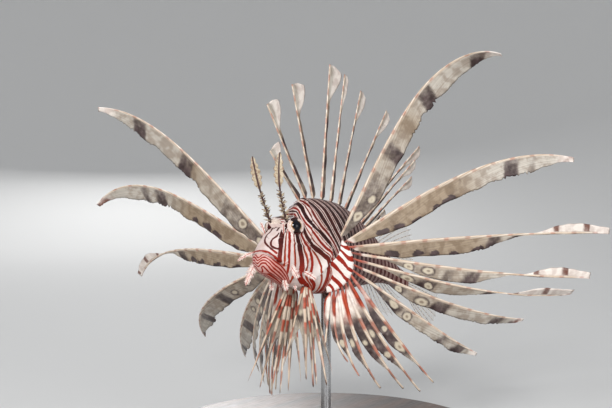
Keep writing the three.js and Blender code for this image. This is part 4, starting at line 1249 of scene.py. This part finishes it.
def pectoral_ray(name, paths, k):
    """One ray, with its web turned toward the next ray and never past it."""
    path, length = paths[k], LENGTHS[k]
    flagged = k + 1 in FLAGGED_RAYS
    last = k == len(paths) - 1
    curled = name == "right" and k in CURLED_RAYS
    beside = paths[k - 1] if last else paths[k + 1]

    def toward(t):
        away = unit(on_path(beside, t) - on_path(path, t))
        return -away if last else away + CURL_TURN * curled

    # the left fin's middle rays start bare, and every web narrows toward its ray's tip
    bare = 0.3 if 3 <= k <= 7 and name == "left" else 0
    stout = 1 + 0.4 * (k > 6)
    bared_from, bared_to, bared = (0.5, 0.85, 0.95) if k > 6 else (0.75, 1.04, 0.8)
    if curled:
        bared_from, bared_to, bared = 0.66, 1.02, 0.92

    def rod(t):
        return stout * rod_radius(t)

    def wide(t):
        full = (BLADES[k] + 2.5 * curled) * (smooth(bare / 2 - 0.1, 0.25 + bare / 2, t)
                                             - bared * smooth(bared_from, bared_to, t))
        free = full * (1 - 0.9 * smooth(0.45, 0.68, t)) if flagged and not curled else full
        if curled or last:
            return np.maximum(rod(t) + 0.25, free)
        gaps = np.linalg.norm(on_path(path, t)[:, None] - beside[None, ::4], axis=-1).min(1)
        return np.maximum(rod(t) + 0.25, np.minimum(free, gaps + 0.1))

    def flag(t):
        tall = FLAG_WIDTH + 1.6 * (k == 4)
        return (tall * smooth(0.7, 0.84, t) - 2 * smooth(0.9, 1, t)) * (flagged and not curled)

    seed = k * 1.7 + (0 if name == "left" else 0.9)
    points, place = ray_blade(path, length, toward, rod, flag, wide, ROOT_IN_LOBE,
                              ruffle=0.5, fray=0.16, seed=seed)
    return points, ray_marks(place, k, int(k < UPPER_RAYS), seed)


for name in FINS:
    paths = ray_paths(name)
    for k in range(FIN_RAYS):
        number = f"{k + 1:02d}"
        closed_piece(f"fin_ray_{name}_{number}", [pectoral_ray(name, paths, k)], membrane,
                     "fin_rays", f"pectoral_{name}_ray_{number}")


# Dorsal spines: thirteen stiff spines along the back, each cream with brown bands.
# A narrow web of skin runs up the back of each and widens to a pale flag at the tip.
# Each is given by its place along the back, length, lean, tilt to the side and flag's width.
SPINES = [
    (29.6, 32, -48, 0, 4.6), (34.1, 52.5, -37.7, 0, 5), (39.6, 58, -20.7, 0, 5),
    (45.8, 70.6, 1.4, 0, 5.6), (53.1, 68.8, 5.9, 0, 2), (59.7, 65.4, 13.2, 0, 3.6),
    (64.8, 68, 29.9, 0, 3.4), (69.3, 64, 42, 3, 3), (75.4, 66, 45, 8.7, 3),
    (78.8, 55, 44, 12.5, 2.8), (82, 45, 46, 15, 2.8), (85, 20, 48, 3, 1.8),
    (88.4, 19, 56, 0, 1.8),
]
SPINE_ROOT = 1.2
SPINE_BANDS = 7.5


def dorsal_spine(k, s, length, lean, tilt, flag):
    """One spine with its web behind it; the first four have the widest flags."""
    base = np.array([s, 0, float(BACK_LINE(s) + sag(s)) - SPINE_ROOT])
    path = curve(base, LEFT, length, 90 - lean, tilt)

    def wide(t):
        web = (3.2 if k < 4 else 2.6) - 1.2 * smooth(0, 0.5, t)
        grown = smooth(0.7, 0.93, t) - 0.6 * smooth(0.965, 1, t)
        return web + (1.55 if k < 4 else 1.3) * flag * grown

    points, place = ray_blade(
        path, length, lambda t: np.array([1.0, 0, 0]), lambda t: 0.56 - 0.3 * t,
        lambda t: 0 * t, wide, 1.5, ruffle=0.25, fray=0.06, seed=0.6 + k, step=0.6)
    along, t, u, v = (place[key] for key in ("along", "t", "u", "v"))
    flagged = smooth(0.72, 0.8, t) * smooth(0.2, 0.5, v)
    return points, {
        "rod": smooth(1.25, 0.95, np.abs(u) / place["r"]),
        "band": 1.5 - np.abs((along + 2.6 * k) % SPINE_BANDS - SPINE_BANDS / 2),
        "blot": (1 - smooth(0.6, 0.78, t)) * (0.75 + 0.4 * waves(along / 2.6, k)),
        "spot": 0 * t - 3,
        "tan": 0.8 * (1 - smooth(0.7, 0.8, t)),
        "pale": 0.85 * flagged,
        "fibre": u + 0.2 * along,
        "strong": 0.5 + 0 * t,
    }


for k, spec in enumerate(SPINES):
    number = f"{k + 1:02d}"
    closed_piece(f"back_spine_{number}", [dorsal_spine(k, *spec)], membrane, "fin_rays",
                 f"dorsal_spine_{number}")


# Fans: the pelvic fins below the breast, and the soft fins of the back, vent and tail.
# Each is one thin web over soft rays, with its edge notched between them. The pelvic fins'
# rays are barred red and white, and the other fins are nearly clear with dotted rays.
FAN_HALF = 0.11


def fan_sheet(paths, notch, radius, billow=0.0, rows=44):
    """Grid over several rays with the rays raised on both faces of the web."""
    near = [0, 0.05, 0.1, 0.17, 0.3, 0.5, 0.7, 0.83, 0.9, 0.95]
    q = np.array([k + f for k in range(len(paths) - 1) for f in near] + [len(paths) - 1.0])
    low = np.clip(np.floor(q).astype(int), 0, len(paths) - 2)
    f = q - low
    t = np.linspace(0, 1, rows + 1)[:, None] * (1 - notch * np.sin(math.pi * f) ** 0.8)
    rays = np.array(paths)
    x = t * (rays.shape[1] - 1)
    i = np.clip(np.floor(x).astype(int), 0, rays.shape[1] - 2)
    part = (x - i)[..., None]

    def ray_point(which):
        return rays[which, i] * (1 - part) + rays[which, i + 1] * part

    a, b = ray_point(low + 0 * i), ray_point(low + 1 + 0 * i)
    middle = a + (b - a) * f[:, None]
    spacing = np.linalg.norm(b - a, axis=-1)
    away = np.minimum(f, 1 - f) * spacing
    face = unit(np.cross(np.gradient(middle, axis=0), np.gradient(middle, axis=1)))
    r = radius * (1 - 0.55 * t)
    high = np.maximum(FAN_HALF, np.sqrt(np.maximum(r**2 - away**2, 0)))
    high[:, 0] = high[:, -1] = 0
    high[-1] = high[0] = 0
    middle = middle + (billow * np.sin(math.pi * f) * t * np.sin(7 * t + low))[..., None] * face
    faces = [middle + sign * high[..., None] * face for sign in (1, -1)]
    length = np.array([np.linalg.norm(np.diff(p, axis=0), axis=1).sum() for p in paths])
    along = t * np.interp(q, np.arange(len(paths)), length)
    flat = {"rod": smooth(1.5, 0.8, away / r), "along": along, "t": t, "q": q + 0 * t}
    return wrapped(*faces), {key: wrapped(value, value) for key, value in flat.items()}


def mix(a, b, x):
    """The value a share x of the way from a to b."""
    return a + (b - a) * x


# Each pelvic fin's side, root, lift of its first and last ray, their sweep, how far the middle
# rays hang below the others, and the rays' lengths.
PELVICS = {
    "left": (LEFT, (29, 5, -17), (-56, -66), (157, 13), 18, [45, 46, 48, 47, 48, 46]),
    "right": (RIGHT, (29, 4.5, -16), (-69, -74), (142, 12), 9, [51, 52, 53, 54, 53, 50]),
}
PELVIC_RAY = 0.92
PELVIC_BANDS = 12.5


def pelvic_paths(side, base, lifts, sweeps, dip, lengths):
    paths = []
    for k, length in enumerate(lengths):
        x = k / (len(lengths) - 1)
        root = np.array([base[0] + 5 * x, side * base[1], base[2]])
        lift = mix(*lifts, x) - dip * math.sin(math.pi * x)
        paths.append(curve(root, side, length, lift, mix(*sweeps, x), -4, 1.5))
    return paths


def pelvic_fin(seed, *spec):
    points, place = fan_sheet(pelvic_paths(*spec), 0.5, PELVIC_RAY, billow=1.2)
    t, along, q = place["t"], place["along"], place["q"]
    ray = np.rint(q)
    bars = smooth(-0.1, 0.5, waves(along / 3.1 + 0.4 * np.sin(q), seed))
    return points, {
        "rod": place["rod"],
        "band": 2.9 - np.abs((along + 5 * np.sin(2.4 * ray + seed)) % PELVIC_BANDS
                             - PELVIC_BANDS / 2),
        "blot": 0.12 + 0.65 * bars,
        "spot": spots_in({"edge": 5 + 0 * t}, along, q % 1, 14, 34, 9, 0.5, 1.5),
        "tan": 0.55 * (1 - smooth(0.3, 0.7, t)),
        "pale": 0.7 * smooth(0.93, 1, t),
        "fibre": q * 3,
        "strong": 0.92 - (0.4 + 0.25 * np.sin(1.9 * ray)) * smooth(0.3, 0.8, t),
    }


for name, spec in PELVICS.items():
    closed_piece(f"pelvic_fin_{name}", [pelvic_fin(1.3 * spec[0], *spec)], membrane, "fin_rays",
                 f"pelvic_{name}")


def row_of_rays(count, place):
    """Paths of a fin's rays, from a rule that takes the share of the way along the fin."""
    return [place(k / (count - 1)) for k in range(count)]


def soft_dorsal_ray(x):
    s = mix(92.5, 110, x)
    base = np.array([s, 0, float(BACK_LINE(s) + sag(s)) - 1.5])
    return curve(base, LEFT, mix(34, 19, x * x), mix(30, 2, x), 0, -10)


def anal_ray(x):
    s = mix(84, 103, x)
    base = np.array([s, 0, float(BELLY_LINE(s) + sag(s)) + 1.5])
    length = mix(15, 30, math.sin(math.pi * min(1, x * 1.2) * 0.55)) - 12 * x**3
    return curve(base, LEFT, length, mix(-62, -32, x), 0, 12)


def caudal_ray(x):
    s = STANDARD_LENGTH - 1
    base = np.array([s, 0, float(sag(s)) + mix(5, -5, x)])
    return curve(base, LEFT, 37 - 5 * (2 * x - 1) ** 2, mix(8, -42, x), 0)


WEB_FLECKS = 0.8
CLEAR_RAY = 0.3
DOT_PITCH = 3.6


def clear_fin_skin(tree, place):
    """Nearly clear web: the soft fins show as fine dotted rays with little between them."""
    rods, dots = [add_node(tree, "Attribute", out="Fac", attribute_name=name)
                  for name in ("rod", "dot")]
    dots = add_node(tree, "MapRange", {0: dots, 1: -0.15, 2: 0.15}, **SMOOTH)
    flecks = add_node(tree, "TexNoise", {"Vector": place, "Scale": 1 / (WEB_FLECKS * MM)})
    flecks = add_node(tree, "MapRange", {0: flecks, 1: 0.4, 2: 0.7}, **SMOOTH)
    ray = add_node(tree, "Mix", {0: dots, 6: paint("#d3c3ae"), 7: paint("#6b4a3c")}, **COLOUR)
    web = add_node(tree, "Mix", {0: flecks, 6: paint("#c9c1b6"), 7: paint("#a89a8c")}, **COLOUR)
    colour = add_node(tree, "Mix", {0: rods, 6: web, 7: ray}, **COLOUR)
    cover = add_node(tree, "MapRange", {0: rods, 3: 0.12, 4: 0.5})
    return {
        "Base Color": colour, "Roughness": 0.35, "IOR": 1.4, "Alpha": cover}


def clear_fin(paths, notch, billow):
    """A soft fin whose rays carry a dark dot at each step of their length."""
    points, place = fan_sheet(paths, notch, CLEAR_RAY, billow=billow)
    shifted = place["along"] + 1.7 * np.rint(place["q"])
    dots = 0.55 - np.abs(shifted % DOT_PITCH - DOT_PITCH / 2)
    return points, {"rod": place["rod"], "dot": dots}


clear = new_finish("clear_dotted_fin", clear_fin_skin)
for name, count, place, notch in (
    ("dorsal_soft", 11, soft_dorsal_ray, 0.12), ("anal_fin", 9, anal_ray, 0.12),
    ("caudal_fin", 13, caudal_ray, 0.05),
):
    closed_piece(f"web_{name}", [clear_fin(row_of_rays(count, place), notch, 0.5)], clear,
                 "clear_fins", name)


# Stand: a round turned plinth of dark stained walnut, with a satin brushed steel rod.
# The rod stands in a small turned collar and goes up into the belly.
PLINTH_RADIUS = 85
PLINTH_HEIGHT = 12
FOOT_ROUND = 1.2
BEAD = 1.6
SHOULDER = 1.8
ROD_RADIUS = 2.5
ROD_TOP = PIVOT_HEIGHT + float(BELLY_LINE(PIVOT_S)) + 1
COLLAR_RADIUS = 4.2
COLLAR_TOP = PLINTH_HEIGHT + 2
WOOD_FIGURE, WOOD_PORES = 55, 0.8
BRUSH_LINES = 0.25


def arc(middle, radius, start, end, steps=8):
    """Corners of an arc, between two angles in degrees."""
    turns = [math.radians(mix(start, end, k / steps)) for k in range(steps + 1)]
    return [(middle[0] + radius * math.cos(turn), middle[1] + radius * math.sin(turn))
            for turn in turns]


def spun(outline, steps, unit_size=1.0):
    """A mesh turned from an outline about the stand's upright axis."""
    bm = bmesh.new()
    corners = [bm.verts.new((r * unit_size, 0, z * unit_size)) for r, z in outline]
    edges = [bm.edges.new(pair) for pair in zip(corners, corners[1:])]
    bmesh.ops.spin(bm, geom=corners + edges, cent=(0, 0, 0), axis=(0, 0, 1), angle=2 * math.pi,
                   steps=steps, use_merge=True)
    bmesh.ops.remove_doubles(bm, verts=bm.verts, dist=1e-7)
    return bm


def turned(name, outline, steps, finish, slot, *nodes):
    """A lathe-turned piece of the stand."""
    bm = spun(outline, steps, MM)
    bmesh.ops.recalc_face_normals(bm, faces=bm.faces)
    return shown_piece(name, bm, finish, slot, *nodes)


def walnut(tree, place):
    """Oiled hardwood: long soft figure with dark pores, under a thin satin lacquer."""
    place = add_node(tree, "Mapping", {"Vector": place, "Scale": (1, 0.08, 1)})
    figure = add_node(tree, "TexWave", {
        "Vector": place, "Scale": 1 / (WOOD_FIGURE * MM), "Distortion": 9.0, "Detail": 3.0,
        "Detail Scale": 1.5}, out="Fac", wave_type="BANDS")
    pores = add_node(tree, "TexNoise", {"Vector": place, "Scale": 1 / (WOOD_PORES * MM),
                                        "Detail": 3.0})
    dark = add_node(tree, "MapRange", {0: pores, 1: 0.55, 2: 0.75, 4: 0.6}, **SMOOTH)
    wood = add_node(tree, "Mix", {0: figure, 6: paint("#3b2418"), 7: paint("#57361f")}, **COLOUR)
    wood = add_node(tree, "Mix", {0: dark, 6: wood, 7: paint("#1f120c")}, **COLOUR)
    bump = add_node(tree, "Bump", {"Height": pores, "Strength": 0.12, "Distance": 0.2 * MM})
    satin = add_node(tree, "MapRange", {0: pores, 1: 0.3, 2: 0.7, 3: 0.3, 4: 0.42}, **SMOOTH)
    return {
        "Base Color": wood, "Roughness": satin, "Coat Weight": 0.3, "Coat Roughness": 0.2,
        "Normal": bump}


def brushed_steel(tree, place):
    """Steel brushed round its length: a soft broad highlight broken by fine lines."""
    place = add_node(tree, "Mapping", {"Vector": place, "Scale": (0.15, 0.15, 1)})
    lines = add_node(tree, "TexNoise", {"Vector": place, "Scale": 1 / (BRUSH_LINES * MM)})
    colour = add_node(tree, "Mix", {0: lines, 6: paint("#a9abad"), 7: paint("#c6c7c9")}, **COLOUR)
    bump = add_node(tree, "Bump", {"Height": lines, "Strength": 0.15, "Distance": 0.05 * MM})
    satin = add_node(tree, "MapRange", {0: lines, 1: 0.3, 2: 0.7, 3: 0.24, 4: 0.38}, **SMOOTH)
    return {
        "Base Color": colour, "Metallic": 1.0, "Roughness": satin, "Normal": bump}


plinth_outline = (
    [(0, 0)] + arc((PLINTH_RADIUS - FOOT_ROUND, FOOT_ROUND), FOOT_ROUND, -90, 0)
    + arc((PLINTH_RADIUS, PLINTH_HEIGHT - 5), BEAD, 250, 110, 12)
    + arc((PLINTH_RADIUS - 3.2, PLINTH_HEIGHT - SHOULDER), SHOULDER, 10, 90)
    + [(0, PLINTH_HEIGHT)])
turned("plinth", plinth_outline, 128, new_finish("stained_walnut", walnut), "plinth_wood",
       "stand_base")
rod_outline = (
    [(0, PLINTH_HEIGHT - 1.5), (COLLAR_RADIUS, PLINTH_HEIGHT - 1.5), (COLLAR_RADIUS, COLLAR_TOP)]
    + arc((COLLAR_RADIUS - 0.6, COLLAR_TOP + 0.2), 0.6, 0, 90, 5)
    + arc((ROD_RADIUS + 0.5, COLLAR_TOP + 1.3), 0.5, 270, 180, 4)
    + [(ROD_RADIUS, mix(COLLAR_TOP + 2, ROD_TOP, k / 12)) for k in range(13)]
    + [(0, ROD_TOP)])
turned("support_rod", rod_outline, 48, new_finish("brushed_steel", brushed_steel), "rod_steel",
       "stand_rod")


# Stage: pale paper that lies flat and curves up all round, under soft studio lights.
# The key light stands high on the camera's right, and a weak one behind lifts the edges.
FLOOR_REACH = 1.2
SWEEP_RADIUS = 1.6
WALL_TOP = 1.9
PAPER_TOOTH = 2
AMBIENT = 0.65
LIT_POINT = (0, -0.02, 0.11)


def backdrop_paper(tree, place):
    """Matt paper: a faint tooth keeps the floor soft and free of glare."""
    tooth = add_node(tree, "TexNoise", {"Vector": place, "Scale": 1 / (PAPER_TOOTH * MM)})
    bump = add_node(tree, "Bump", {"Height": tooth, "Strength": 0.05, "Distance": 0.1 * MM})
    return {"Base Color": paint("#c9c9c8"), "Roughness": 0.85, "Normal": bump}


def soft_light(name, place, size, watts):
    """A round soft box that faces the fish."""
    light = bpy.data.lights.new(name, "AREA")
    light.shape = "DISK"
    light.size = size
    light.energy = watts
    lamp = bpy.data.objects.new(name, light)
    lamp.location = place
    lamp.rotation_mode = "QUATERNION"
    lamp.rotation_quaternion = (Vector(place) - Vector(LIT_POINT)).to_track_quat("Z", "Y")
    bpy.context.scene.collection.objects.link(lamp)


rim = [(0, 0), (FLOOR_REACH / 2, 0)]
rim += [(FLOOR_REACH + x, SWEEP_RADIUS + z) for x, z in arc((0, 0), SWEEP_RADIUS, 270, 360, 16)]
rim += [(FLOOR_REACH + SWEEP_RADIUS, WALL_TOP)]
paper = spun(rim, 96)
for face in paper.faces:
    face.smooth = True
    if face.normal.z < 0:
        face.normal_flip()
sweep_mesh = bpy.data.meshes.new("paper_sweep")
paper.to_mesh(sweep_mesh)
paper.free()
sweep_mesh.materials.append(new_finish("pale_backdrop_paper", backdrop_paper))
sweep = bpy.data.objects.new("paper_sweep", sweep_mesh)
bpy.context.scene.collection.objects.link(sweep)

world = bpy.data.worlds.new("studio")
bpy.context.scene.world = world
world.use_nodes = True
background = world.node_tree.nodes["Background"]
background.inputs["Color"].default_value = paint("#e6e8ec")
background.inputs["Strength"].default_value = AMBIENT
soft_light("key", (0.6, -1.4, 0.95), 0.4, 26)
soft_light("fill", (1.5, -0.3, 0.5), 0.9, 7)
soft_light("back", (-1.3, 1, 0.7), 0.9, 8)
bpy.context.scene.view_settings.view_transform = "Standard"
